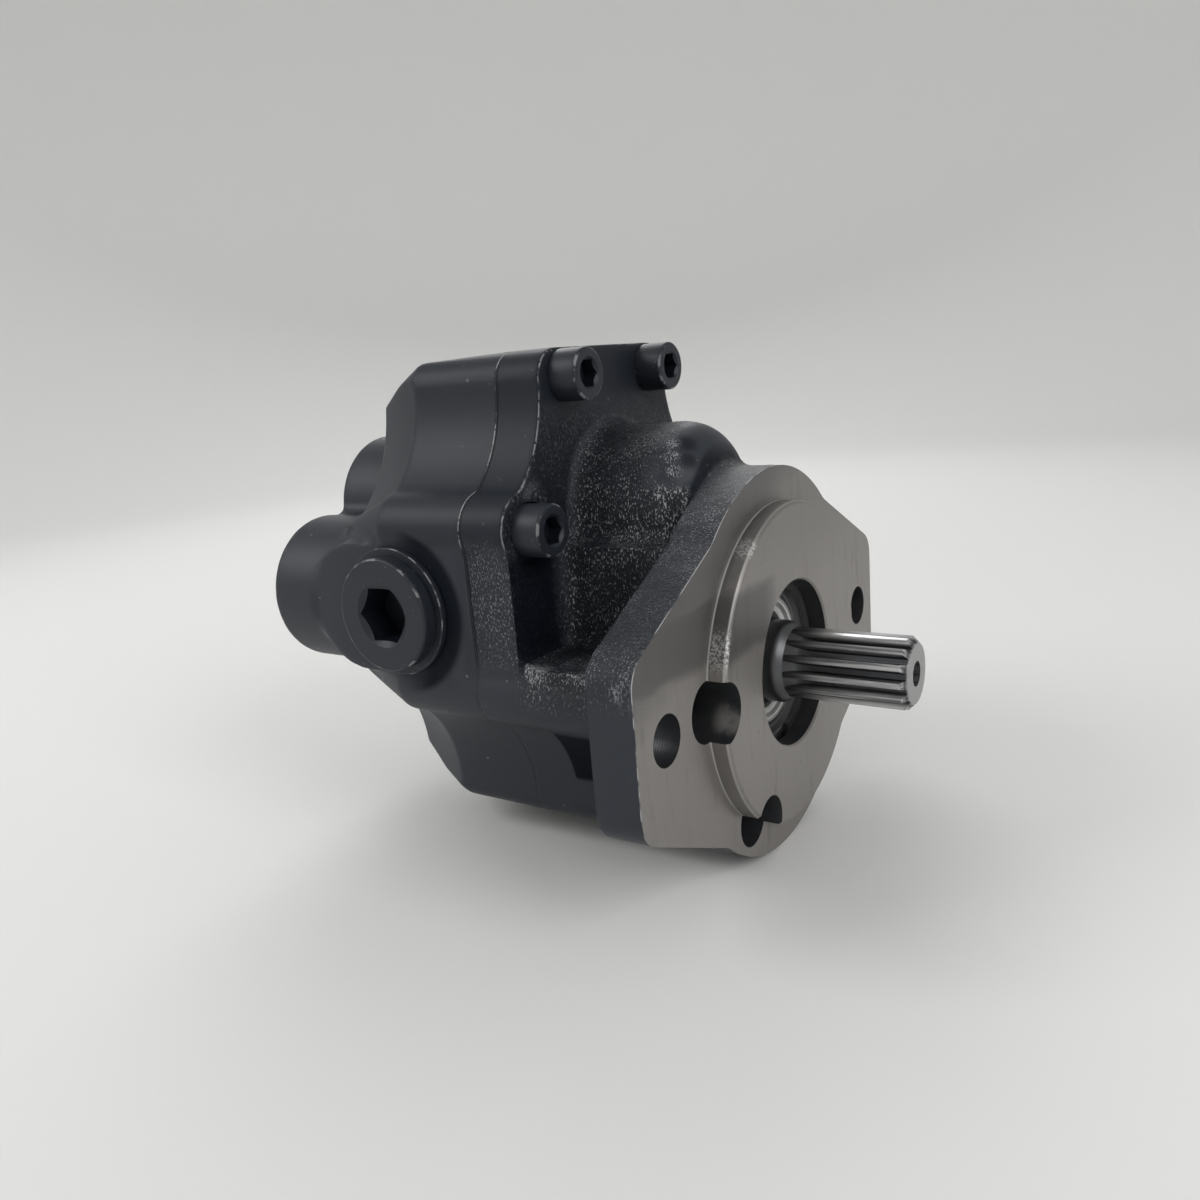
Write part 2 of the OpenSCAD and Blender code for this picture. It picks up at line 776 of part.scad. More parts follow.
module driven_gear_shaft() {
    color("#8c8f92")
    translate([0, 0, gear_c])
        gear_on_journals(90 + 180 / gear_teeth, front_bore_end - run_gap);
}

// Plain bearing bush, drawn from x0 forwards
module bush(x0, z) {
    color("#b08d57")
    difference() {
        bar_x(x0, bush_len, bush_d / 2, 0, z);
        bar_x(x0 - 1, bush_len + 2, journal_d / 2 + journal_gap, 0, z);
    }
}

module front_drive_bush() { bush(joint_x, 0); }
module front_driven_bush() { bush(joint_x, gear_c); }
module rear_drive_bush() { bush(chamber_floor - bush_len, 0); }
module rear_driven_bush() { bush(chamber_floor - bush_len, gear_c); }

// Pressure plate that fills the chamber, with its seal groove on the side away from the gears
module pressure_plate(x0, groove_x) {
    color("#c9b37a")
    difference() {
        along_x(x0, plate_t)
            union() {
                circle(chamber_r - plate_gap);
                translate([0, gear_c])
                    circle(chamber_r - plate_gap);
            }
        at_gear_axes()
            bar_x(x0 - 1, plate_t + 2, journal_d / 2 + run_gap);
        plate_groove(groove_x);
    }
}

// Groove for a plate seal and its backup ring, opening away from the gears
module plate_groove(x0) {
    depth = seal_cord;
    at_gear_axes()
        difference() {
            bar_x(x0, depth, plate_track_r + seal_cord / 2 + 0.1);
            bar_x(x0 - 1, depth + 2, plate_track_r - seal_cord * 1.5 - 0.1);
        }
}

module front_pressure_plate() { pressure_plate(joint_x - plate_t, joint_x - seal_cord); }
module rear_pressure_plate() { pressure_plate(chamber_floor, chamber_floor); }

// Two seal rings in one plate, square in section
module plate_rings(x0, inner_r, outer_r) {
    at_gear_axes()
        difference() {
            bar_x(x0, seal_cord, outer_r);
            bar_x(x0 - 1, seal_cord + 2, inner_r);
        }
}

module plate_seal(x0) {
    color("#1c1c1e")
        plate_rings(x0, plate_track_r - seal_cord / 2, plate_track_r + seal_cord / 2);
}

module backup_ring(x0) {
    color("#d8d4c8")
        plate_rings(x0, plate_track_r - seal_cord * 1.5, plate_track_r - seal_cord / 2);
}

module front_plate_seal() { plate_seal(joint_x - seal_cord); }
module rear_plate_seal() { plate_seal(chamber_floor); }
module front_backup_ring() { backup_ring(joint_x - seal_cord); }
module rear_backup_ring() { backup_ring(chamber_floor); }

module joint_o_ring() {
    color("#1c1c1e")
        track_cord(joint_x - seal_cord * seal_squeeze / 2, track_r, seal_cord * seal_squeeze / 2);
}

// Pressed steel case of the shaft seal, stepped towards the shaft
module shaft_seal_case() {
    color("#a9aaa8")
        turned_x([
            [seal_back, seal_bore_d / 2 - seat_gap], [seal_front, seal_bore_d / 2 - seat_gap],
            [seal_front, seal_bore_d / 2 - 3], [seal_front - 1.6, seal_bore_d / 2 - 4.5],
            [seal_front - 1.6, sealed_d / 2 + 5], [seal_front - 3.2, sealed_d / 2 + 3.5],
            [seal_front - 4.4, sealed_d / 2 + 3.5], [seal_front - 3.4, seal_bore_d / 2 - 5.5],
            [seal_front - 3.4, seal_bore_d / 2 - 2], [seal_back, seal_bore_d / 2 - 2]
        ]);
}

module shaft_seal_lip() {
    color("#26211e")
        turned_x([
            [seal_front - 3.2, sealed_d / 2 + 3.4], [seal_front - 1.4, sealed_d / 2 + run_gap],
            [seal_front - 2.4, sealed_d / 2 + 0.3], [seal_back + 1.6, sealed_d / 2 + 0.3],
            [seal_back + 0.6, sealed_d / 2 + 1.2], [seal_back + 0.6, sealed_d / 2 + 2],
            [seal_front - 4.4, sealed_d / 2 + 3.4]
        ]);
}

module seal_garter_spring() {
    wire_r = 0.8;
    lip_t = 2;
    color("#b9bbbd")
        translate([seal_back + 1.6, 0, 0])
            rotate([0, 90, 0])
                rotate_extrude()
                    translate([sealed_d / 2 + lip_t + wire_r + 0.8, 0])
                        circle(wire_r, $fn = 24);
}

// Retaining ring with its gap and two lugs
module seal_snap_ring() {
    outer_r = seal_bore_d / 2 + snap_depth;
    inner_r = seal_bore_d / 2 - 2.5;
    color("#55585b")
        along_x(seal_front + side_gap, snap_t)
            difference() {
                circle(outer_r);
                circle(inner_r);
                rotate(-90)
                    translate([0, -ring_gap / 2])
                        square([outer_r + 1, ring_gap]);
            }
}

module dowel_pins() {
    color("#9a9da0")
        for (sy = [-1, 1])
            bar_x(joint_x - dowel_len / 2, dowel_len, dowel_d / 2, sy * dowel_y, mid_z);
}

module top_cap_screws() {
    color("#2e3135")
        screws_at(top_screws);
}

module side_cap_screws() {
    color("#2e3135")
        screws_at(side_screws);
}

module recessed_cap_screws() {
    color("#2e3135")
        screws_at(recessed_screws);
}

module far_cap_screws() {
    color("#2e3135")
        screws_at(far_screws);
}

// Hollow-hexagon port plug, head outwards
module side_plug(sy) {
    seat = pad_y + washer_gap + washer_t;
    on_side(sy)
        translate([side_port_x, -seat, mid_z])
            rotate([90, 0, 0])
                difference() {
                    union() {
                        translate([0, 0, -washer_t - plug_thread_len])
                            cylinder(h = washer_t + plug_thread_len + 1, d = plug_thread_d);
                        cylinder(h = plug_head_h - 1, d = plug_head_d);
                        translate([0, 0, plug_head_h - 1])
                            cylinder(h = 1, d1 = plug_head_d, d2 = plug_head_d - 2);
                    }
                    translate([0, 0, plug_head_h - plug_socket_depth])
                        cylinder(h = plug_socket_depth + 1, d = plug_af / cos(30), $fn = 6);
                }
}

module suction_side_plug() {
    color("#33373c")
        side_plug(-1);
}

module pressure_side_plug() {
    color("#33373c")
        side_plug(1);
}

// Sealing washer under a side plug
module side_washer(sy) {
    on_side(sy)
        translate([side_port_x, -pad_y - washer_gap, mid_z])
            rotate([90, 0, 0])
                difference() {
                    cylinder(h = washer_t, d = washer_d);
                    translate([0, 0, -1])
                        cylinder(h = washer_t + 2, d = plug_thread_d + 0.4);
                }
}

module suction_plug_washer() {
    color("#6d6f70")
        side_washer(-1);
}

module pressure_plug_washer() {
    color("#6d6f70")
        side_washer(1);
}

front_cover();
gear_housing();
drive_gear_shaft();
driven_gear_shaft();
front_drive_bush();
front_driven_bush();
rear_drive_bush();
rear_driven_bush();
front_pressure_plate();
rear_pressure_plate();
front_plate_seal();
rear_plate_seal();
front_backup_ring();
rear_backup_ring();
joint_o_ring();
shaft_seal_case();
shaft_seal_lip();
seal_garter_spring();
seal_snap_ring();
dowel_pins();
top_cap_screws();
side_cap_screws();
recessed_cap_screws();
far_cap_screws();
suction_side_plug();
pressure_side_plug();
suction_plug_washer();
pressure_plug_washer();
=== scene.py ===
"""Dresses the solids of an external gear pump in cast, machined and painted surfaces."""

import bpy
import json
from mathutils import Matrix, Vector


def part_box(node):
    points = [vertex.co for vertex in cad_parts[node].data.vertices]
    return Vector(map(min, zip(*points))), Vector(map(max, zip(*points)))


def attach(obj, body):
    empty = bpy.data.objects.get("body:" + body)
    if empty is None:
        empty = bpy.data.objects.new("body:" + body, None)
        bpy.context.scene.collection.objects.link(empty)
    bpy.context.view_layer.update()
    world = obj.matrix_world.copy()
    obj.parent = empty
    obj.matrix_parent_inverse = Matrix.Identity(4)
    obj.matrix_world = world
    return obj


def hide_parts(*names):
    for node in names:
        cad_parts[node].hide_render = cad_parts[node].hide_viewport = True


bl_info = {
    "name": "Gear Pump Dressing",
    "version": (1, 0, 0),
    "blender": (4, 5, 0),
    "location": "3D View > Sidebar > Gear Pump",
    "description": "Cast, machined and painted surfaces for a flange-mounted gear pump",
    "category": "Object",
}

import functools
import json
import math

import bmesh
import bpy
from mathutils import Matrix, Vector, noise

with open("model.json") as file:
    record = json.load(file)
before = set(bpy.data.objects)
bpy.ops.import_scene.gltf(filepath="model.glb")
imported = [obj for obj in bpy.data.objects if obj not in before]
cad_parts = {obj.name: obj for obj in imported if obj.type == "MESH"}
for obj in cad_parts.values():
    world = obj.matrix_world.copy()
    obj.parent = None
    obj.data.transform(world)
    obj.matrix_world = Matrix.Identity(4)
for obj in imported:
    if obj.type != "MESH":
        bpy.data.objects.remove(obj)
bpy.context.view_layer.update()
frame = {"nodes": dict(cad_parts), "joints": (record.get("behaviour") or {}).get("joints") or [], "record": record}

MM = 0.001
X_AXIS = Vector((1, 0, 0))
Y_AXIS = Vector((0, 1, 0))

# Places along the shaft and across the pump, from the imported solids
HOUSING_LOW, HOUSING_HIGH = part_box("gear_housing")
COVER_LOW, COVER_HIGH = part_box("front_cover")
JOINT_X = HOUSING_HIGH.x
REAR_X = HOUSING_LOW.x
PILOT_X = COVER_HIGH.x
JOINT_FRONT_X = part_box("top_cap_screws")[1].x - 10 * MM
GEAR_Z = frame["joints"][1]["pos_m"][2]
MID_Z = GEAR_Z / 2
SHAFT_TIP_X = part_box("drive_gear_shaft")[1].x
PLATE_LOW, PLATE_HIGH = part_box("rear_pressure_plate")
PLUG_LOW, PLUG_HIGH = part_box("suction_side_plug")
PORT_X = (PLUG_LOW.x + PLUG_HIGH.x) / 2

# Flange and bores
PILOT_R = 50.8 * MM
MOUNT_Y = 73 * MM
MOUNT_R = 7.15 * MM
FLANGE_T = 14.5 * MM
SEAL_BORE_R = 26.2 * MM
SEAL_SEAT = 10 * MM
SEAL_FRONT_X = -SEAL_SEAT + 8 * MM
SEALED_R = 12.5 * MM
JOURNAL_R = 14 * MM
RUN_GAP = 0.5 * MM
SEAT_GAP = 0.03 * MM
# How far a cutter runs past the face it opens
OVERRUN = 1 * MM

# Cap screws: two at the top, two at each side, two at the bottom
SCREW_RING_R = 50.4 * MM
SCREW_Y = SCREW_RING_R / 2
SCREW_DZ = SCREW_RING_R * math.cos(math.radians(30))
SCREW_R = 5 * MM
SCREW_LEN = 40 * MM
HEAD_R = 8 * MM
HEAD_H = 10 * MM
SCREW_GROUPS = {
    "top_cap_screws": [(-SCREW_Y, GEAR_Z + SCREW_DZ), (SCREW_Y, GEAR_Z + SCREW_DZ)],
    "side_cap_screws": [(-SCREW_RING_R, GEAR_Z), (SCREW_RING_R, GEAR_Z)],
    "recessed_cap_screws": [(-SCREW_RING_R, 0), (-SCREW_Y, -SCREW_DZ)],
    "far_cap_screws": [(SCREW_RING_R, 0), (SCREW_Y, -SCREW_DZ)],
}
SCREW_PLACES = [place for places in SCREW_GROUPS.values() for place in places]
ACCESS_HOLES = [((-SCREW_RING_R, 0), 9 * MM), ((-SCREW_Y, -SCREW_DZ), 8.5 * MM)]

# Rear and side ports
BARREL_Y = 36.5 * MM
REAR_PORTS = [(-BARREL_Y, 19.5 * MM), (BARREL_Y, 15.15 * MM)]
REAR_THREAD_LEN = 24 * MM
REAR_PITCH = 2.309 * MM
PASSAGE_R = 13 * MM
PAD_Y = 61.5 * MM
PLUG_THREAD_R = 16.5 * MM
PLUG_THREAD_LEN = 15 * MM


# Shapes

def bar(bm, x0, x1, r, y=0.0, z=0.0, segments=96):
    """Round or prismatic bar along the shaft."""
    place = Matrix.Translation(((x0 + x1) / 2, y, z)) @ Matrix.Rotation(math.radians(90), 4, "Y")
    bmesh.ops.create_cone(
        bm, cap_ends=True, segments=segments, radius1=r, radius2=r, depth=x1 - x0, matrix=place
    )


def box(bm, low, high):
    """Box between two corners."""
    low, high = Vector(low), Vector(high)
    place = Matrix.Translation((low + high) / 2) @ Matrix.Diagonal((*(high - low), 1))
    bmesh.ops.create_cube(bm, size=1, matrix=place)


def rounded(outline, closed=False, steps=5):
    """Outline of (x, radius, corner round) points with each round drawn as a short curve."""
    count = len(outline)
    result = []
    for i, (x, r, size) in enumerate(outline):
        corner = Vector((x, r))
        inner = closed or 0 < i < count - 1
        if not inner or size <= 0:
            result.append((x, r))
            continue
        back = Vector(outline[i - 1][:2]) - corner
        ahead = Vector(outline[(i + 1) % count][:2]) - corner
        reach = min(size, back.length / 2, ahead.length / 2)
        start = corner + back.normalized() * reach
        end = corner + ahead.normalized() * reach
        for k in range(steps + 1):
            t = k / steps
            point = start * (1 - t) ** 2 + corner * 2 * t * (1 - t) + end * t * t
            result.append((point.x, point.y))
    return result


def turned(bm, outline, y=0.0, z=0.0, steps=128, closed=False):
    """Solid turned about a line along the shaft, from its (x, radius, round) outline."""
    points = rounded(outline, closed)
    verts = [bm.verts.new((px, y, z + pr)) for px, pr in points]
    pairs = list(zip(verts, verts[1:]))
    if closed:
        pairs.append((verts[-1], verts[0]))
    edges = [bm.edges.new(pair) for pair in pairs]
    before = set(bm.verts)
    bmesh.ops.spin(
        bm, geom=verts + edges, cent=(0, y, z), axis=X_AXIS, angle=math.tau, steps=steps,
        use_merge=True,
    )
    made = [v for v in bm.verts if v not in before] + verts
    bmesh.ops.remove_doubles(bm, verts=made, dist=1e-7)


def at(bm, matrix):
    """Moves everything drawn so far to its place."""
    bmesh.ops.transform(bm, matrix=matrix, verts=bm.verts)
    return bm


def drawn(shape, *args, **kwargs):
    """One shape in a mesh of its own."""
    bm = bmesh.new()
    shape(bm, *args, **kwargs)
    bmesh.ops.recalc_face_normals(bm, faces=bm.faces)
    return bm


def loose_object(name, bm):
    """Object that holds a mesh and isn't a piece yet."""
    mesh = bpy.data.meshes.new(name)
    bm.to_mesh(mesh)
    bm.free()
    obj = bpy.data.objects.new(name, mesh)
    bpy.context.scene.collection.objects.link(obj)
    return obj


def bake_modifiers(obj):
    """Replaces a mesh by what its modifiers make of it."""
    graph = bpy.context.evaluated_depsgraph_get()
    mesh = bpy.data.meshes.new_from_object(obj.evaluated_get(graph))
    obj.modifiers.clear()
    old = obj.data
    obj.data = mesh
    bpy.data.meshes.remove(old)


def combine(obj, shapes, operation):
    """Joins closed shapes to an object, or cuts them out of it, one after the other."""
    others = [loose_object("other", bm) for bm in shapes]
    for other in others:
        change = obj.modifiers.new("Combine", "BOOLEAN")
        change.operation = operation
        change.solver = "MANIFOLD"
        change.object = other
    bake_modifiers(obj)
    for other in others:
        mesh = other.data
        bpy.data.objects.remove(other)
        bpy.data.meshes.remove(mesh)


def shade(obj, sharp=32):
    """Smooth shading, with the edges over an angle kept sharp and true flats kept flat."""
    obj.data.shade_smooth()
    obj.data.set_sharp_from_angle(angle=math.radians(sharp))
    for face in obj.data.polygons:
        if max(abs(part) for part in face.normal) > 0.99999:
            face.use_smooth = False


def settle(obj, body, slot, replaces=(), machined=()):
    """Gives a piece its body, its slot and the slot's finish, then those of its machined faces."""
    obj.data.materials.clear()
    for maker in (SLOT_FINISHES[slot], *machined):
        obj.data.materials.append(finish(maker))
    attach(obj, body)
    if replaces:
        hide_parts(*replaces)


def mark_wear(obj, axis, centres=(), socket=0.0):
    """Stores 1 on a turned piece's edges, where its paint wears through, and -1 in its sockets, where shade is
    painted.
    """
    edge_tilts = (0.3, 0.93)
    inside, mouth = socket * 0.55, socket * 0.72
    values = []
    for face in obj.data.polygons:
        value = float(edge_tilts[0] < abs(face.normal.dot(axis)) < edge_tilts[1])
        for centre in centres:
            away = face.center - centre
            away -= axis * away.dot(axis)
            if away.length < mouth:
                value = -1.0 if away.length < inside else 0.0
        values.append(value)
    obj.data.attributes.new("wear", "FLOAT", "FACE").data.foreach_set("value", values)


def turned_piece(name, outline, body, slot, replaces=(), matrix=None):
    """Piece that is one turned ring."""
    bm = drawn(turned, outline, closed=True)
    if matrix is not None:
        at(bm, matrix)
    obj = loose_object(name, bm)
    shade(obj)
    settle(obj, body, slot, replaces)
    return obj


def take_in(bm, other):
    """Adds another mesh to a mesh, and frees it."""
    mesh = bpy.data.meshes.new("other")
    other.to_mesh(mesh)
    other.free()
    bm.from_mesh(mesh)
    bpy.data.meshes.remove(mesh)


# Materials

# The cover's strip between the two joints is rough from the lower of these heights to the upper
STRIP_LOW, STRIP_HIGH = 11 * MM, 45 * MM
PAINT_SHEEN = 0.32

# Spots as (x, y, z, reach) in millimetres: painted glints that crowd together on the cover,
# painted shade in the hollows beside them, painted light in the near access hole, and painted
# reflections on the pilot's rim
GLINT_SPOTS = (
    (-25.5, -15, 71, 4.2), (-24.2, -18, 67, 4.4), (-22.8, -20, 63, 4), (-18.5, -19.6, 55.5, 4.2),
    (-22, -21.5, 57, 3.6), (-25, -24, 57.5, 4), (-51, -59.5, 9, 5.5), (-36, -60, 9.5, 5.5),
    (-30, -62, 12, 5), (-5, -86, 17, 4),
)
PAINTED_SHADE_SPOTS = ((-21.5, -12.5, 71, 5), (-19.5, -16, 66, 4))
PAINTED_LIGHT_SPOTS = ((3, -42, -5, 7),)
RIM_SPOTS = ((3, -47.8, 17, 8), (4, -28.4, 42, 5.5))


class Recipe:
    """Builds the nodes of one material."""

    def __init__(self, name):
        self.material = bpy.data.materials.new(name)
        self.material.use_nodes = True
        self.tree = self.material.node_tree
        self.tree.nodes.clear()
        self.shader = self.add("ShaderNodeBsdfPrincipled")
        self.add("ShaderNodeOutputMaterial", {"Surface": self.shader.outputs["BSDF"]})
        self.place = self.add("ShaderNodeTexCoord").outputs["Object"]

    def add(self, kind, sockets=None, **settings):
        """New node, with its settings and what feeds its sockets."""
        node = self.tree.nodes.new(kind)
        for key, value in settings.items():
            setattr(node, key, value)
        for key, value in (sockets or {}).items():
            self.feed(node.inputs[key], value)
        return node

    def feed(self, socket, value):
        """Sets a socket to a value, or links another node to it."""
        if isinstance(value, bpy.types.NodeSocket):
            self.tree.links.new(value, socket)
        else:
            socket.default_value = value

    def set(self, **values):
        """Sets the shader's sockets by name, with underscores for spaces."""
        for key, value in values.items():
            self.feed(self.shader.inputs[key.replace("_", " ")], value)

    def maths(self, operation, *values):
        """One sum of up to three values."""
        return self.add("ShaderNodeMath", dict(enumerate(values)), operation=operation).outputs[0]

    def stretched(self, scale):
        """Object coordinates with a scale along each axis."""
        return self.add("ShaderNodeMapping", {"Vector": self.place, "Scale": scale}).outputs[0]

    def grain(self, scale, detail=3.0, roughness=0.55, vector=None):
        """Noise from 0 to 1, with about one feature in 1 / scale metres."""
        sockets = {"Vector": vector or self.place, "Scale": scale, "Detail": detail}
        sockets["Roughness"] = roughness
        return self.add("ShaderNodeTexNoise", sockets).outputs["Fac"]

    def between(self, value, low, high):
        """0 below low, 1 above high and smooth between them; low may be the larger one."""
        sockets = {"Value": value, "From Min": low, "From Max": high}
        node = self.add("ShaderNodeMapRange", sockets, interpolation_type="SMOOTHSTEP")
        return node.outputs["Result"]

    def within(self, value, low, high, soft):
        """1 between two limits, falling to 0 outside them."""
        above = self.between(value, low - soft, low)
        return self.product(above, self.between(value, high + soft, high))

    def blend(self, share, a, b):
        """Colour between a and b."""
        node = self.add("ShaderNodeMix", {"Factor": share, "A": a, "B": b}, data_type="RGBA")
        return node.outputs["Result"]

    def drift(self, share, first, second):
        """Colour that drifts between two of the panel's colours."""
        return self.blend(share, rgba(first), rgba(second))

    def over(self, skin, colour, *shares):
        """Lays one of the panel's colours over a skin, by the product of some shares."""
        return self.blend(self.product(*shares), skin, rgba(colour))

    def level(self, share, a, b):
        """Number between a and b."""
        return self.maths("MULTIPLY_ADD", share, b - a, a)

    def product(self, *shares):
        """All shares multiplied."""
        return functools.reduce(lambda a, b: self.maths("MULTIPLY", a, b), shares)

    def most(self, *shares):
        """The largest share."""
        return functools.reduce(lambda a, b: self.maths("MAXIMUM", a, b), shares)

    def waves(self, value, pitch):
        """Sine along a value, with a pitch in metres."""
        return self.maths("SINE", self.maths("MULTIPLY", value, math.tau / pitch))

    def axis(self, letter):
        """One coordinate of the point, in metres."""
        return self.add("ShaderNodeSeparateXYZ", {0: self.place}).outputs[letter]

    def distance(self, a, b):
        """Length of a vector with two coordinates."""
        return self.maths("SQRT", self.maths("ADD", self.product(a, a), self.product(b, b)))

    def radius(self):
        """Distance of the point from the drive shaft's axis."""
        return self.distance(self.axis("Y"), self.axis("Z"))

    def near_plane(self, x, reach):
        """1 where a side wall meets a plane across the shaft, falling to 0 at a distance."""
        gap = self.maths("ABSOLUTE", self.maths("SUBTRACT", self.axis("X"), x))
        normal = self.add("ShaderNodeNewGeometry").outputs["Normal"]
        tilt = self.maths("ABSOLUTE", self.add("ShaderNodeSeparateXYZ", {0: normal}).outputs["X"])
        return self.product(self.between(gap, reach, reach * 0.4), self.between(tilt, 0.93, 0.8))

    def near_spots(self, spots):
        """1 at any of some spots, falling to 0 at each one's reach."""
        shares = []
        for *place, reach in spots:
            sockets = {0: self.place, 1: Vector(place) * MM}
            away = self.add("ShaderNodeVectorMath", sockets, operation="DISTANCE").outputs["Value"]
            shares.append(self.between(away, reach * MM, reach * MM * 0.25))
        return self.most(*shares)

    def attribute(self, name):
        """Value that the mesh carries at each point."""
        return self.add("ShaderNodeAttribute", attribute_name=name).outputs["Fac"]

    def bump(self, height, depth, below=None):
        """Relief from a height between 0 and 1 and a depth in metres, over any relief below."""
        sockets = {"Height": height, "Distance": depth}
        if below is not None:
            sockets["Normal"] = below
        return self.add("ShaderNodeBump", sockets).outputs[0]


def rgba(colour):
    """Colour property as a socket value."""
    return (*colour, 1.0)


def shaded_places(recipe, height, upper):
    """Share of painted shade in the pockets, creases and shaded walls, where the paint is dark and dull."""
    along, aside = recipe.axis("X"), recipe.maths("ABSOLUTE", recipe.axis("Y"))
    # Painted shadow in the pocket under the neck, in front of the joint flange
    pocket = recipe.product(
        recipe.between(along, JOINT_FRONT_X + 0.3 * MM, JOINT_FRONT_X + 1.2 * MM),
        recipe.within(height, -33 * MM, -15.5 * MM, 2 * MM),
        recipe.between(aside, 32 * MM, 38 * MM),
        recipe.between(along, -FLANGE_T + 1 * MM, -FLANGE_T),
        1.1,
    )
    # Painted shade on the joint face under the side screws
    joint_face = recipe.product(
        recipe.within(along, JOINT_FRONT_X - 0.4 * MM, JOINT_FRONT_X + 1.5 * MM, 0.3 * MM),
        recipe.within(height, 12 * MM, 40 * MM, 6 * MM),
        recipe.between(aside, 36 * MM, 42 * MM),
    )
    from_port = recipe.distance(
        recipe.maths("SUBTRACT", along, PORT_X), recipe.maths("SUBTRACT", height, MID_Z)
    )
    # Painted shadow in a crescent beside each side plug
    crescent = recipe.product(
        recipe.between(from_port, 28.5 * MM, 25.5 * MM),
        recipe.between(along, PORT_X - 2 * MM, PORT_X + 13 * MM),
        recipe.between(aside, 58 * MM, 60 * MM),
    )
    # Painted shade in the crease behind the mounting flange
    crease = recipe.product(
        recipe.within(along, -17 * MM, -15.4 * MM, 1 * MM),
        recipe.between(height, 6 * MM, 16 * MM),
        recipe.between(height, 72 * MM, 64 * MM),
        0.8,
    )
    # Painted shade in the hollows beside the glint spots
    hollow = recipe.product(recipe.near_spots(PAINTED_SHADE_SPOTS), 0.7)
    # Painted shade on the tops of the strip and the housing block, where the lamps light them more
    strip_top = recipe.product(recipe.within(along, JOINT_X, JOINT_FRONT_X, 0.4 * MM), 0.5)
    block_top = recipe.product(recipe.within(along, -110 * MM, JOINT_X, 20 * MM), 0.27)
    tops = recipe.product(recipe.most(strip_top, block_top), upper)
    return recipe.product(recipe.most(pocket, joint_face, crescent, crease, hollow, tops), 0.85)


def cast_paint(look):
    """Satin paint over a sand casting, with painted glints on the rough skin and painted shade."""
    recipe = Recipe("cast_paint")
    rough, height = recipe.attribute("rough_cast"), recipe.axis("Z")
    clouds = recipe.grain(38, 4)
    skin = recipe.drift(clouds, look.paint, look.paint_light)
    skin = recipe.over(skin, look.paint_deep, rough, 0.8)

    # Painted glints: specks in the glint colour on the rough skin, crowding at the glint spots
    grit = recipe.grain(2300, 2, 0.6, recipe.stretched((1, 1, 0.42)))
    crowd = recipe.near_spots(GLINT_SPOTS)
    lift = recipe.maths("MULTIPLY_ADD", recipe.grain(75, 2), 0.22, recipe.product(crowd, 0.1))
    grains = recipe.between(recipe.maths("ADD", grit, lift), 0.69, 0.77)
    gritty = recipe.most(rough, recipe.product(crowd, 0.75))
    skin = recipe.over(skin, look.glint, grains, gritty, 0.85)
    # Sparse painted glint specks over all the paint
    flecks = recipe.between(recipe.grain(420, 1), 0.75, 0.79)
    skin = recipe.over(skin, look.glint, flecks, 0.3)

    upper = recipe.between(height, STRIP_HIGH, STRIP_HIGH + 4 * MM)
    strip = recipe.within(height, STRIP_LOW, STRIP_HIGH, 3 * MM)
    shadow = recipe.product(recipe.near_plane(JOINT_X + 0.3 * MM, 0.8 * MM), upper)
    groove = recipe.product(recipe.near_plane(JOINT_X, 0.9 * MM), strip)
    skin = recipe.over(skin, look.paint_deep, recipe.most(shadow, groove), 0.9)
    runs = recipe.between(recipe.grain(85, 2), 0.44, 0.52)
    beads = recipe.product(runs, recipe.between(recipe.grain(650, 2), 0.36, 0.5))
    rear_line = recipe.near_plane(JOINT_X - 0.25 * MM, 0.4 * MM)
    front_line = recipe.near_plane(JOINT_FRONT_X - 0.45 * MM, 0.35 * MM)
    joint_wear = recipe.product(recipe.most(rear_line, front_line), upper, beads)
    chips = recipe.between(recipe.grain(110, 4), 0.42, 0.56)
    face_wear = recipe.product(recipe.near_plane(0, 0.4 * MM), chips)
    skin = recipe.over(skin, look.worn_edge, recipe.most(joint_wear, face_wear))
    # Painted shade in the pockets, creases and on the tops, dark and dull
    dark = shaded_places(recipe, height, upper)
    skin = recipe.over(skin, look.paint_deep, dark)

    gloss = recipe.maths("MULTIPLY_ADD", rough, -0.14, recipe.level(clouds, 0.42, 0.54))
    peel = recipe.bump(recipe.grain(520, 2), 0.03 * MM)
    relief = recipe.bump(recipe.grain(1150, 4, 0.66), recipe.product(rough, look.sand_depth), peel)
    filled = recipe.level(recipe.between(height, 4 * MM, 12 * MM), 0.25, 1)
    joint = recipe.product(recipe.near_plane(JOINT_X, 0.7 * MM), filled)
    seam = recipe.most(joint, recipe.product(front_line, upper, 0.6))
    recipe.set(
        Base_Color=skin, Roughness=gloss, Normal=recipe.bump(seam, -0.35 * MM, relief),
        Specular_IOR_Level=recipe.level(dark, PAINT_SHEEN, 0.02),
    )
    return recipe.material


def steel_paint(look):
    """The same satin paint over turned steel, worn through along the edges, with painted glints and shade."""
    recipe = Recipe("steel_paint")
    clouds, wear = recipe.grain(90, 3), recipe.attribute("wear")
    skin = recipe.drift(clouds, look.paint, look.paint_light)
    skin = recipe.over(skin, look.paint_deep, 0.3)
    # Sparse painted glint specks
    skin = recipe.over(skin, look.glint, recipe.between(recipe.grain(900, 2), 0.7, 0.76), 0.3)
    # Painted shade in the sockets
    skin = recipe.over(skin, look.paint_deep, recipe.between(wear, -0.4, -0.6), 0.9)
    bits = recipe.between(recipe.grain(240, 4), 0.52, 0.6)
    skin = recipe.over(skin, look.worn_edge, bits, recipe.between(wear, 0.4, 0.6), 0.42)
    recipe.set(
        Base_Color=skin, Roughness=recipe.level(clouds, 0.4, 0.5),
        Normal=recipe.bump(recipe.grain(700, 3), 0.035 * MM), Specular_IOR_Level=PAINT_SHEEN,
    )
    return recipe.material


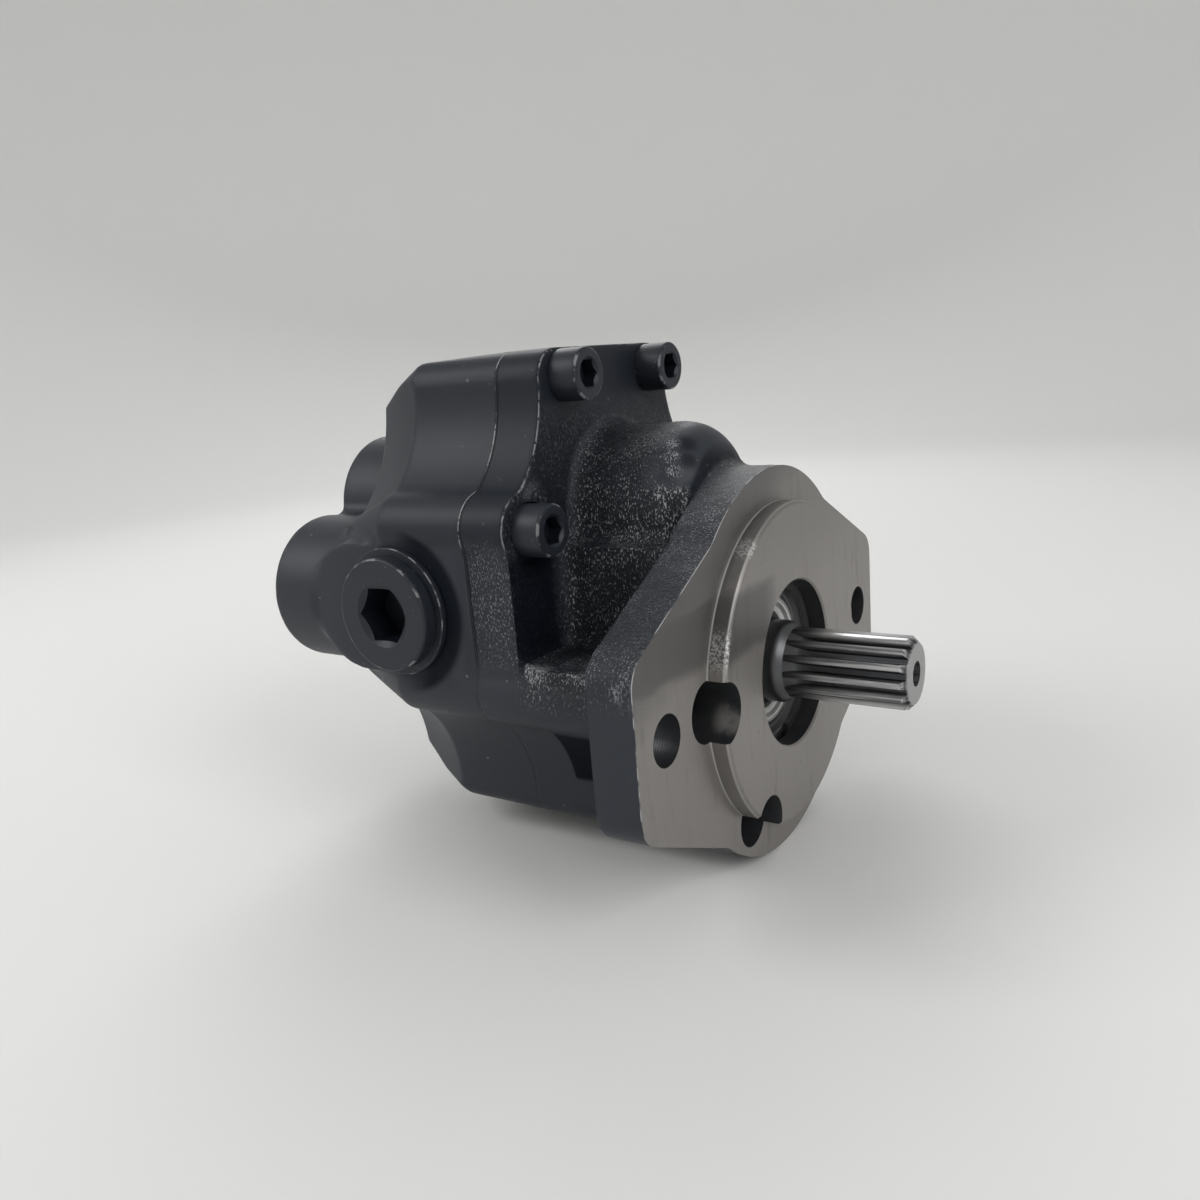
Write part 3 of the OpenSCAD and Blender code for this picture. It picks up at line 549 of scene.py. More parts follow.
def faced_iron(look):
    """Turned cast iron with fine rings, a painted dark reflection, paint mist and painted highlights on the pilot
    rim.
    """
    recipe = Recipe("faced_iron")
    radius = recipe.radius()
    along, across, height = (recipe.axis(letter) for letter in "XYZ")
    cut = recipe.maths("MULTIPLY_ADD", recipe.waves(radius, 0.55 * MM), 0.3, recipe.grain(300, 3))
    clouds = recipe.grain(45, 4)
    metal = recipe.drift(clouds, look.iron, look.iron_light)
    scratch = recipe.between(recipe.grain(160, 5, 0.7, recipe.stretched((1, 1, 0.2))), 0.52, 0.74)
    metal = recipe.over(metal, look.iron_dark, scratch, 0.32)
    pits = recipe.between(recipe.grain(700, 2), 0.72, 0.76)
    metal = recipe.over(metal, look.iron_dark, pits, 0.6)

    flange = recipe.between(along, 3 * MM, 1 * MM)
    slant = recipe.maths("MULTIPLY_ADD", across, -0.45, height)
    slant = recipe.maths("MULTIPLY_ADD", clouds, 16 * MM, slant)
    mist = recipe.product(recipe.between(slant, 46 * MM, 72 * MM), flange, 0.62)
    # Painted dark reflection across the near side of the face
    wavy = recipe.maths("MULTIPLY_ADD", recipe.grain(60, 3), 5 * MM, height)
    band = recipe.within(wavy, 19 * MM, 32 * MM, 4.5 * MM)
    band = recipe.product(band, recipe.between(across, -10 * MM, -24 * MM), 0.68)
    # Darker towards the top
    darker_upward = recipe.product(recipe.between(height, 18 * MM, 46 * MM), 0.16)
    metal = recipe.over(metal, look.iron_dark, recipe.most(mist, band, darker_upward))

    wall = recipe.within(radius, PILOT_R - 1.1 * MM, PILOT_R + 0.5 * MM, 0.1 * MM)
    wall = recipe.product(wall, recipe.between(along, 0, 0.1 * MM))
    # Painted highlights: bright lines at the pilot's foot and lip, and painted reflections on its rim
    foot = recipe.within(along, 0, 0.45 * MM, 0.2 * MM)
    lip = recipe.within(along, PILOT_X - 1 * MM, PILOT_X - 0.6 * MM, 0.15 * MM)
    brush = recipe.between(recipe.grain(1500, 2), 0.36, 0.66)
    rim_reflections = recipe.product(recipe.near_spots(RIM_SPOTS), brush, 0.8)
    bright = recipe.most(foot, recipe.product(lip, 0.15), rim_reflections)
    metal = recipe.over(metal, look.iron_dark, wall, 0.12)
    metal = recipe.over(metal, look.rim_bright, bright, wall)
    recipe.set(
        Base_Color=metal, Metallic=0.75, Roughness=recipe.level(clouds, 0.4, 0.52),
        Normal=recipe.bump(cut, 0.02 * MM),
    )
    return recipe.material


def bored_iron(look):
    """Bored and drilled iron, dark, with rings along the hole and painted light on one wall."""
    recipe = Recipe("bored_iron")
    rings = recipe.waves(recipe.axis("X"), 0.8 * MM)
    cut = recipe.maths("MULTIPLY_ADD", rings, 0.25, recipe.grain(260, 3))
    clouds = recipe.grain(120, 4)
    metal = recipe.drift(clouds, look.bore, look.iron_dark)
    # Painted light on the wall of the near access hole
    painted_light = recipe.near_spots(PAINTED_LIGHT_SPOTS)
    metal = recipe.over(metal, look.iron_light, painted_light, recipe.between(clouds, 0.35, 0.6))
    recipe.set(Base_Color=metal, Metallic=0.5, Roughness=0.38, Normal=recipe.bump(cut, 0.04 * MM))
    return recipe.material


def milled_steel(look):
    """Milled and ground steel, streaked along the shaft, dark between the teeth."""
    recipe = Recipe("milled_steel")
    along, radius = recipe.axis("X"), recipe.radius()
    streaks = recipe.grain(900, 4, 0.6, recipe.stretched((0.03, 1, 1)))
    end_face = recipe.between(along, SHAFT_TIP_X - 0.6 * MM, SHAFT_TIP_X - 0.1 * MM)
    tooth_foot = recipe.product(
        recipe.between(radius, 10.75 * MM, 9.6 * MM), recipe.between(radius, 4.5 * MM, 5 * MM),
        recipe.maths("SUBTRACT", 1.0, end_face),
    )
    oil = recipe.within(along, -12 * MM, 6 * MM, 14 * MM)
    bright = recipe.between(streaks, 0.36, 0.64)
    calm = recipe.product(recipe.most(oil, end_face), recipe.maths("SUBTRACT", 0.26, bright))
    metal = recipe.drift(recipe.maths("ADD", bright, calm), look.steel, look.steel_light)
    dark = recipe.most(recipe.product(tooth_foot, 0.9), recipe.product(oil, 0.75))
    metal = recipe.over(metal, look.steel_dark, dark)
    gloss = recipe.maths("MULTIPLY_ADD", oil, 0.12, recipe.level(streaks, 0.22, 0.36))
    recipe.set(
        Base_Color=metal, Metallic=0.95, Roughness=gloss, Normal=recipe.bump(streaks, 0.02 * MM)
    )
    return recipe.material


def sheet_steel(look):
    """Bright pressed sheet, black with oil towards the rim."""
    recipe = Recipe("sheet_steel")
    clouds = recipe.grain(220, 3)
    metal = recipe.drift(clouds, look.steel_light, look.rim_bright)
    rim = recipe.between(recipe.radius(), 20.6 * MM, 21.6 * MM)
    metal = recipe.over(metal, look.steel_dark, rim, 0.85)
    recipe.set(
        Base_Color=metal, Metallic=0.7, Roughness=recipe.level(clouds, 0.26, 0.4),
        Normal=recipe.bump(recipe.grain(900, 2), 0.01 * MM),
    )
    return recipe.material


def turned_bronze(look):
    """Turned bronze, with rings round the shaft."""
    recipe = Recipe("turned_bronze")
    clouds = recipe.grain(150, 4)
    rings = recipe.waves(recipe.radius(), 0.7 * MM)
    recipe.set(
        Base_Color=recipe.drift(clouds, look.bronze, look.bronze_light), Metallic=0.95,
        Roughness=recipe.level(clouds, 0.28, 0.42), Normal=recipe.bump(rings, 0.008 * MM),
    )
    return recipe.material


def nitrile_rubber(look):
    """Black nitrile rubber with a dull bloom."""
    recipe = Recipe("nitrile_rubber")
    bloom = recipe.grain(400, 4)
    recipe.set(
        Base_Color=recipe.drift(bloom, look.rubber, look.rubber_light),
        Roughness=recipe.level(bloom, 0.5, 0.7), Normal=recipe.bump(bloom, 0.02 * MM),
    )
    return recipe.material


def moulded_nylon(look):
    """Moulded natural nylon."""
    recipe = Recipe("moulded_nylon")
    clouds = recipe.grain(300, 3)
    recipe.set(
        Base_Color=recipe.drift(clouds, look.nylon, look.nylon_light),
        Roughness=0.48, Normal=recipe.bump(clouds, 0.015 * MM),
    )
    return recipe.material


# The finish of each of the record's material slots
SLOT_FINISHES = {
    "painted_casting": cast_paint,
    "painted_steel": steel_paint,
    "ground_steel": milled_steel,
    "pressed_steel": sheet_steel,
    "bearing_bronze": turned_bronze,
    "seal_rubber": nitrile_rubber,
    "backup_plastic": moulded_nylon,
}


def finish(maker):
    """A finish's material, made from the panel's colours when it is first asked for."""
    return bpy.data.materials.get(maker.__name__) or maker(bpy.context.scene.pump_finishes)


# Castings

def merged_copy(node):
    """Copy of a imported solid's mesh with its loose triangles joined."""
    bm = bmesh.new()
    bm.from_mesh(frame["nodes"][node].data)
    bmesh.ops.remove_doubles(bm, verts=bm.verts, dist=1e-6)
    return bm


def side_place(sign, y):
    """Matrix that turns a shape along the shaft to point out of one side port."""
    turn = Matrix.Rotation(math.radians(90 * sign), 4, "Z")
    return Matrix.Translation((PORT_X, sign * y, MID_Z)) @ turn


def bore_plugs(bm):
    """Bars that close every hole in the castings before they are rounded."""
    ahead = PILOT_X + 4 * MM
    bar(bm, -12 * MM, ahead, SEAL_BORE_R + 2 * MM)
    for sign in (-1, 1):
        bar(bm, -FLANGE_T, ahead, MOUNT_R + 1 * MM, sign * MOUNT_Y)
    for (y, z), r in ACCESS_HOLES:
        bar(bm, JOINT_X, ahead, r + 1 * MM, y, z)
    for y, z in SCREW_PLACES:
        bar(bm, JOINT_X - 2 * MM, JOINT_FRONT_X, SCREW_R + 2 * MM, y, z)
    for y, r in REAR_PORTS:
        bar(bm, REAR_X, REAR_X + 30 * MM, r + 2 * MM, y, MID_Z)
    for sign in (-1, 1):
        plug = drawn(bar, -25 * MM, 0, PLUG_THREAD_R + 2 * MM)
        take_in(bm, at(plug, side_place(sign, PAD_Y)))


def forward_flange(bm):
    """The flange's outline carried past the mounting face, to be cut flat later."""
    before = set(bm.verts)
    facing = (face for face in bm.faces if face.normal.x > 0.99)
    front = [face for face in facing if abs(face.calc_center_median().x) < 0.1 * MM]
    made = bmesh.ops.extrude_face_region(bm, geom=front)["geom"]
    moved = [v for v in made if isinstance(v, bmesh.types.BMVert) and v not in before]
    bmesh.ops.translate(bm, verts=moved, vec=(PILOT_X + 3 * MM, 0, 0))


def rounded_casting(look):
    """Both castings as one closed body with cast corners and fillets."""
    bm = merged_copy("front_cover")
    forward_flange(bm)
    take_in(bm, merged_copy("gear_housing"))
    bore_plugs(bm)
    body = loose_object("casting", bm)
    voxel = look.voxel * 1
    steps = [("REMESH", 0), ("DISPLACE", look.fillet), ("REMESH", 0), ("DISPLACE", -look.fillet)]
    for kind, amount in steps:
        change = body.modifiers.new(kind, kind)
        if kind == "REMESH":
            change.mode = "VOXEL"
            change.voxel_size = voxel
        else:
            change.strength = amount
            change.mid_level = 0
    soften = body.modifiers.new("Soften", "SMOOTH")
    soften.factor = 0.5
    soften.iterations = look.softening
    bake_modifiers(body)
    return body


def ramp(value, low, high):
    """0 at low and 1 at high, straight between them; low may be the larger one."""
    return min(1, max(0, (value - low) / (high - low)))


def rough_share(p):
    """How rough the cast skin is at a point of the cover, from 0 to 1."""
    if p.x < JOINT_X:
        return 0.0
    if p.x < JOINT_FRONT_X - 1 * MM:
        # The strip between the two joints
        return 0.5 * ramp(p.z, 6 * MM, 12 * MM) * ramp(p.z, 50 * MM, 44 * MM)
    if p.x > -FLANGE_T - 1 * MM:
        # The mounting flange's edge
        return 0.6 * ramp(p.z, 10 * MM, 24 * MM)
    share = ramp(p.z, -4 * MM, 8 * MM) * ramp(p.z, 88 * MM, 78 * MM)
    if p.x < JOINT_FRONT_X + 1.5 * MM:
        # The face that the screws' heads lie on
        share *= 0.45
    if p.z > 58 * MM:
        # The dome, which is smooth towards the flange
        share *= ramp(p.x, -24 * MM, -34 * MM)
    return share


def roughen(obj, low, high, depth):
    """Gives the rough parts of a casting a real grain and keeps it inside its packed box."""
    coarse, fine = 420, 900
    face_edge = 0.6 * MM
    normals = [vert.normal.copy() for vert in obj.data.vertices]
    for vert, normal in zip(obj.data.vertices, normals):
        share = rough_share(vert.co)
        if share > 0 and vert.co.x < -face_edge:
            lift = noise.noise(vert.co * coarse) + 0.5 * noise.noise(vert.co * fine)
            vert.co += normal * lift * share * depth
        vert.co.y = min(high.y, max(low.y, vert.co.y))
        vert.co.z = min(high.z, max(low.z, vert.co.z))


def mark_rough(obj):
    """Stores the roughness of the cast skin at each point for the paint."""
    attribute = obj.data.attributes.new("rough_cast", "FLOAT", "POINT")
    attribute.data.foreach_set("value", [rough_share(vert.co) for vert in obj.data.vertices])


def mark_machined(obj, bores):
    """Gives faced and bored surfaces their own material slots."""
    faced, bored = 1, 2
    flats = (0, PILOT_X, JOINT_X)
    near = 0.1 * MM
    for face in obj.data.polygons:
        centre, normal = face.center, face.normal
        if abs(normal.x) > 0.99 and any(abs(centre.x - x) < near for x in flats):
            face.material_index = faced
            continue
        if centre.x > -near / 2:
            face.material_index = faced
        for x0, x1, r, y, z in bores:
            distance = math.hypot(centre.y - y, centre.z - z)
            if x0 - near < centre.x < x1 and distance < r + near / 2:
                face.material_index = bored


def threaded_bore(bm, x0, length, r, y, z):
    """Hole with the rings of a pipe thread, opening towards -X."""
    depth = 0.64 * REAR_PITCH
    outline = [(x0 - OVERRUN, 0, 0), (x0 - OVERRUN, r + depth, 0), (x0, r + depth, 0)]
    for k in range(int(length / REAR_PITCH)):
        x = x0 + depth + k * REAR_PITCH
        outline.append((x, r - depth / 2, 0))
        outline.append((x + REAR_PITCH / 2, r + depth / 2, 0))
    outline.append((x0 + length, r - depth / 2, 0))
    outline.append((x0 + length, 0, 0))
    turned(bm, outline, y, z)


def housing_cavities():
    """Cutters for the gear chamber, bearing bores, ports, screws and pins of the housing."""
    chamber_r = (PLATE_HIGH.y - PLATE_LOW.y) / 2 + 0.1 * MM
    bush_low, bush_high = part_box("rear_drive_bush")
    bush_r = (bush_high.y - bush_low.y) / 2 + SEAT_GAP
    cutters = []
    for z in (0, GEAR_Z):
        cutters.append(drawn(bar, PLATE_LOW.x, JOINT_X + OVERRUN, chamber_r, 0, z))
        cutters.append(drawn(bar, bush_low.x - RUN_GAP, PLATE_LOW.x + OVERRUN, bush_r, 0, z))
    for y, r in REAR_PORTS:
        cutters.append(drawn(threaded_bore, REAR_X, REAR_THREAD_LEN, r, y, MID_Z))
        cutters.append(drawn(bar, REAR_X + REAR_THREAD_LEN - OVERRUN, PORT_X, PASSAGE_R, y, MID_Z))
    for sign in (-1, 1):
        port = drawn(bar, -PLUG_THREAD_LEN - 2 * MM, 5 * MM, PLUG_THREAD_R + SEAT_GAP)
        cutters.append(at(port, side_place(sign, PAD_Y)))
        passage = drawn(bar, -PAD_Y + 5 * MM, 0, PASSAGE_R)
        cutters.append(at(passage, side_place(sign, PAD_Y)))
    depth = SCREW_LEN - (JOINT_FRONT_X - JOINT_X) + 3 * MM
    screw_hole = (JOINT_X - depth, JOINT_X + OVERRUN, SCREW_R + SEAT_GAP)
    for y, z in SCREW_PLACES:
        cutters.append(drawn(bar, *screw_hole, y, z, 48))
    return cutters + pin_holes() + [seal_groove()]


def pin_holes():
    """Holes for the two dowel pins, through the joint."""
    low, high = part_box("dowel_pins")
    r = (high.z - low.z) / 2 + SEAT_GAP
    y = high.y - (high.z - low.z) / 2
    reach = 0.5 * MM
    return [drawn(bar, low.x - reach, high.x + reach, r, sign * y, MID_Z, 48) for sign in (-1, 1)]


def seal_groove():
    """Groove for the joint's O-ring, stretched round both gear axes."""
    low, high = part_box("joint_o_ring")
    cord = high.x - low.x
    gap = 0.3 * MM
    outer = (high.y - low.y) / 2 + gap
    inner = (high.y - low.y) / 2 - cord - gap
    floor_x = low.x - 0.02 * MM
    outline = [(floor_x, inner, 0), (floor_x, outer, 0)]
    outline += [(JOINT_X + OVERRUN, outer, 0), (JOINT_X + OVERRUN, inner, 0)]
    bm = drawn(turned, outline, closed=True)
    upper = [v for v in bm.verts if v.co.z > 1e-6]
    bmesh.ops.translate(bm, verts=upper, vec=(0, 0, GEAR_Z))
    return bm


def pilot_solid(bm):
    """Turned pilot with a broken front edge, rooted in the flange."""
    edge = 0.9 * MM
    root = -4 * MM
    turned(bm, [
        (root, 0, 0), (root, PILOT_R, 0), (PILOT_X - edge, PILOT_R, 0.3 * MM),
        (PILOT_X, PILOT_R - edge, 0.3 * MM), (PILOT_X, 0, 0),
    ], steps=180)


def locating_nub(bm):
    """Small round boss beside the near side screw."""
    reach, turn = 9.4 * MM, math.radians(29)
    y = -SCREW_RING_R + reach * math.sin(turn)
    z = GEAR_Z + reach * math.cos(turn)
    root, top, r = JOINT_FRONT_X - 2 * MM, JOINT_FRONT_X + 3 * MM, 3.2 * MM
    turned(bm, [(root, 0, 0), (root, r, 0), (top, r, 0.9 * MM), (top, 0, 0)], y, z, 40)


def seal_bore(bm):
    """Stepped bore of the shaft seal with its ring groove and a broken edge at the mouth."""
    groove_r, groove_end = SEAL_BORE_R + 1.6 * MM, SEAL_FRONT_X + 1.7 * MM
    edge = 0.6 * MM
    turned(bm, [
        (-SEAL_SEAT, 0, 0), (-SEAL_SEAT, SEAL_BORE_R, 0), (SEAL_FRONT_X, SEAL_BORE_R, 0),
        (SEAL_FRONT_X, groove_r, 0), (groove_end, groove_r, 0),
        (groove_end, SEAL_BORE_R, 0), (PILOT_X - edge, SEAL_BORE_R, 0),
        (PILOT_X + OVERRUN, SEAL_BORE_R + edge + OVERRUN, 0), (PILOT_X + OVERRUN, 0, 0),
    ])


def cover_cavities():
    """Cutters for the holes of the front cover."""
    bush_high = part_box("front_drive_bush")[1]
    bore_end = bush_high.x + RUN_GAP
    bush_r = bush_high.y + SEAT_GAP
    cutters = [drawn(seal_bore)]
    cutters.append(drawn(bar, bore_end - OVERRUN, -SEAL_SEAT + OVERRUN, JOURNAL_R + RUN_GAP))
    for z in (0, GEAR_Z):
        cutters.append(drawn(bar, JOINT_X - OVERRUN, bore_end, bush_r, 0, z))
    for sign in (-1, 1):
        cutters.append(drawn(bar, -FLANGE_T - 5 * MM, 5 * MM, MOUNT_R, sign * MOUNT_Y))
    for (y, z), r in ACCESS_HOLES:
        cutters.append(drawn(bar, JOINT_FRONT_X, PILOT_X + 5 * MM, r, y, z))
    spot_face = (JOINT_FRONT_X, JOINT_FRONT_X + 5 * MM, HEAD_R + 0.4 * MM)
    cutters.append(drawn(bar, *spot_face, -SCREW_RING_R, GEAR_Z))
    screw_hole = (JOINT_X - OVERRUN, JOINT_FRONT_X + OVERRUN, SCREW_R + 0.5 * MM)
    for y, z in SCREW_PLACES:
        cutters.append(drawn(bar, *screw_hole, y, z, 48))
    return cutters + pin_holes()


class PUMP_OT_castings(bpy.types.Operator):
    """Gear housing and front cover as painted sand castings with machined faces"""

    bl_idname = "pump.castings"
    bl_label = "Castings"

    def execute(self, context):
        look = context.scene.pump_castings
        body = rounded_casting(look)
        # The boxes that part the castings reach past the pump, and leave a hair's gap at the joint
        past = 0.2
        hair = 0.06 * MM
        housing = bpy.data.objects.new("housing_casting", body.data.copy())
        context.scene.collection.objects.link(housing)
        front_cut = drawn(box, (JOINT_X - hair, -past, -past), (past, past, past))
        combine(housing, [front_cut], "DIFFERENCE")
        roughen(housing, HOUSING_LOW, HOUSING_HIGH, look.sand_depth)
        combine(housing, housing_cavities(), "DIFFERENCE")
        cover = body
        cover.name = "cover_casting"
        rear_cut = drawn(box, (-2 * past, -past, -past), (JOINT_X + hair, past, past))
        front_cut = drawn(box, (0, -past, -past), (past, past, past))
        combine(cover, [rear_cut, front_cut], "DIFFERENCE")
        roughen(cover, COVER_LOW, COVER_HIGH, look.sand_depth)
        combine(cover, [drawn(pilot_solid), drawn(locating_nub)], "UNION")
        combine(cover, cover_cavities(), "DIFFERENCE")
        rear_bores = [(REAR_X, REAR_X + 60 * MM, r + 1 * MM, y, MID_Z) for y, r in REAR_PORTS]
        deep, shallow = -60 * MM, -20 * MM
        front_bores = [(deep, PILOT_X, r, y, z) for (y, z), r in ACCESS_HOLES]
        front_bores += [(shallow, 0, MOUNT_R, sign * MOUNT_Y, 0) for sign in (-1, 1)]
        front_bores += [(deep, PILOT_X - 0.5 * MM, SEAL_BORE_R + 2 * MM, 0, 0)]
        for obj, node, bores in (
            (housing, "gear_housing", rear_bores),
            (cover, "front_cover", front_bores),
        ):
            settle(obj, "casing", "painted_casting", [node], [faced_iron, bored_iron])
            mark_machined(obj, bores)
            mark_rough(obj)
            shade(obj)
        return {"FINISHED"}


def socket_cutters(top, depth, flats, lead, rim, y=0.0, z=0.0, steps=128):
    """Hexagonal socket that opens towards +X, and the cone at its mouth."""
    corner = flats / 2 / math.cos(math.radians(30))
    above = top + 0.2 * MM
    low = top - lead
    cone = [(low, 0, 0), (low, flats / 2, 0), (above, corner + rim, 0), (above, 0, 0)]
    hexagon = drawn(bar, top - depth, top + OVERRUN, corner, y, z, 6)
    return [hexagon, drawn(turned, cone, y, z, steps)]


class PUMP_OT_cap_screws(bpy.types.Operator):
    """Socket-head cap screws round both gear axes"""

    bl_idname = "pump.cap_screws"
    bl_label = "Cap Screws"

    def execute(self, context):
        look = context.scene.pump_fasteners
        top = JOINT_FRONT_X + HEAD_H
        lead = 1 * MM
        outline = [
            (-SCREW_LEN, 0, 0), (-SCREW_LEN, SCREW_R - lead, 0), (-SCREW_LEN + lead, SCREW_R, 0),
            (0, SCREW_R, 0), (0, HEAD_R - 0.2 * MM, 0.2 * MM), (0.4 * MM, HEAD_R, 0.2 * MM),
            (HEAD_H, HEAD_R, look.head_round), (HEAD_H, 0, 0),
        ]
        for node, places in SCREW_GROUPS.items():
            bm = bmesh.new()
            cutters = []
            for y, z in places:
                turned(bm, outline, y, z, 64)
                cutters += socket_cutters(
                    top, 5 * MM, look.screw_socket, 0.9 * MM, 0.6 * MM, y, z, 48
                )
            at(bm, Matrix.Translation((JOINT_FRONT_X, 0, 0)))
            bmesh.ops.recalc_face_normals(bm, faces=bm.faces)
            obj = loose_object(f"{node}_painted", bm)
            combine(obj, cutters, "DIFFERENCE")
            shade(obj)
            mark_wear(obj, X_AXIS, [Vector((0, y, z)) for y, z in places], look.screw_socket)
            settle(obj, "casing", "painted_steel", [node])
        return {"FINISHED"}


class PUMP_OT_side_plugs(bpy.types.Operator):
    """Hollow-hexagon plugs in the side ports, each on its washer"""

    bl_idname = "pump.side_plugs"
    bl_label = "Side Plugs"

    def execute(self, context):
        look = context.scene.pump_fasteners
        washer_t, washer_r = 2 * MM, 20.8 * MM
        hole_r = PLUG_THREAD_R + 0.2 * MM
        head_r, top = 18.3 * MM, washer_t + 5 * MM
        lead = 1.2 * MM
        washer_outline = [
            (0, hole_r, 0), (washer_t, hole_r, 0),
            (washer_t, washer_r, 0.5 * MM), (0, washer_r, 0.3 * MM),
        ]
        plug_outline = [
            (-PLUG_THREAD_LEN, 0, 0), (-PLUG_THREAD_LEN, PLUG_THREAD_R - lead, 0),
            (-PLUG_THREAD_LEN + lead, PLUG_THREAD_R, 0), (washer_t, PLUG_THREAD_R, 0),
            (washer_t, head_r - 0.3 * MM, 0.2 * MM), (washer_t + 0.6 * MM, head_r, 0.3 * MM),
            (top, head_r, look.plug_round), (top, 0, 0),
        ]
        for sign, side in ((-1, "suction"), (1, "pressure")):
            place = side_place(sign, PAD_Y + 0.02 * MM)
            washer = turned_piece(
                f"{side}_washer_painted", washer_outline, "casing", "painted_steel",
                [f"{side}_plug_washer"], place,
            )
            mark_wear(washer, Y_AXIS)
            obj = loose_object(f"{side}_plug_painted", at(drawn(turned, plug_outline), place))
            cutters = socket_cutters(top, 11 * MM, look.plug_socket, 1.3 * MM, 0.9 * MM)
            combine(obj, [at(cutter, place) for cutter in cutters], "DIFFERENCE")
            shade(obj)
            mark_wear(obj, Y_AXIS, [Vector((PORT_X, 0, MID_Z))], look.plug_socket)
            settle(obj, "casing", "painted_steel", [f"{side}_side_plug"])
        return {"FINISHED"}


class PUMP_OT_shaft_end(bpy.types.Operator):
    """Cutter run-out of the spline and the rounded collar behind it"""

    bl_idname = "pump.shaft_end"
    bl_label = "Shaft End"

    def execute(self, context):
        foot, top = 9.05 * MM, 11.05 * MM
        start, end = 5.2 * MM, 15 * MM
        fall = top - foot - 0.16 * MM
        outline = [(start, foot, 0), (start, top, 0)]
        steps = 8
        for k in range(1, steps + 1):
            t = k / steps
            outline.append((start + (end - start) * t, top - fall * math.sin(t * math.pi / 2), 0))
        outline.append((end, foot, 0))
        turned_piece("spline_runout", outline, "drive_rotor", "ground_steel")
        hole_r, collar_r = 11 * MM, 13.05 * MM
        rear, front = -2.4 * MM, 5.4 * MM
        turned_piece("shaft_collar", [
            (rear, hole_r, 0), (rear, collar_r, 1.8 * MM), (3.2 * MM, collar_r, 2.6 * MM),
            (front, hole_r + 0.08 * MM, 0), (front, hole_r, 0),
        ], "drive_rotor", "ground_steel")
        return {"FINISHED"}


class PUMP_OT_shaft_seal(bpy.types.Operator):
    """Pressed case and rubber lip of the shaft seal"""

    bl_idname = "pump.shaft_seal"
    bl_label = "Shaft Seal"

    def execute(self, context):
        front, rim = SEAL_FRONT_X, SEAL_BORE_R - SEAT_GAP
        turned_piece("seal_case_pressed", [
            (-SEAL_SEAT, rim, 0), (front, rim, 0.4 * MM), (front, rim - 1.8 * MM, 0.6 * MM),
            (front - 2.6 * MM, rim - 3 * MM, 0.6 * MM), (front - 2.6 * MM, 20.9 * MM, 0.5 * MM),
            (front - 1.1 * MM, 20.3 * MM, 0.4 * MM), (front - 1.1 * MM, 18.7 * MM, 0.5 * MM),
            (front - 2.9 * MM, 17.9 * MM, 0.5 * MM), (front - 2.9 * MM, 16.1 * MM, 0.4 * MM),
            (front - 4.4 * MM, 16.1 * MM, 0), (front - 4.0 * MM, 22 * MM, 0),
            (-SEAL_SEAT, 24.2 * MM, 0),
        ], "casing", "pressed_steel", ["shaft_seal_case"])
        lip = SEALED_R + 0.3 * MM
        turned_piece("seal_lip_rubber", [
            (front - 3.1 * MM, 16 * MM, 0.3 * MM), (front - 2.2 * MM, lip + 1.4 * MM, 0.3 * MM),
            (front - 3.4 * MM, lip, 0.2 * MM), (-SEAL_SEAT + 1.6 * MM, lip, 0),
            (-SEAL_SEAT + 0.6 * MM, lip + 0.9 * MM, 0), (-SEAL_SEAT + 0.6 * MM, lip + 1.7 * MM, 0),
            (front - 4.3 * MM, 16 * MM, 0),
        ], "casing", "seal_rubber", ["shaft_seal_lip"])
        return {"FINISHED"}


class PUMP_OT_inner_parts(bpy.types.Operator):
    """Finishes for the gears, bushes, plates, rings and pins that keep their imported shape"""

    bl_idname = "pump.inner_parts"
    bl_label = "Inner Parts"

    def execute(self, context):
        for part in frame["record"]["subparts"]:
            node = frame["nodes"][part["node"]]
            if not node.hide_render:
                node.data.materials.clear()
                node.data.materials.append(finish(SLOT_FINISHES[part["material_slot"]]))
        return {"FINISHED"}


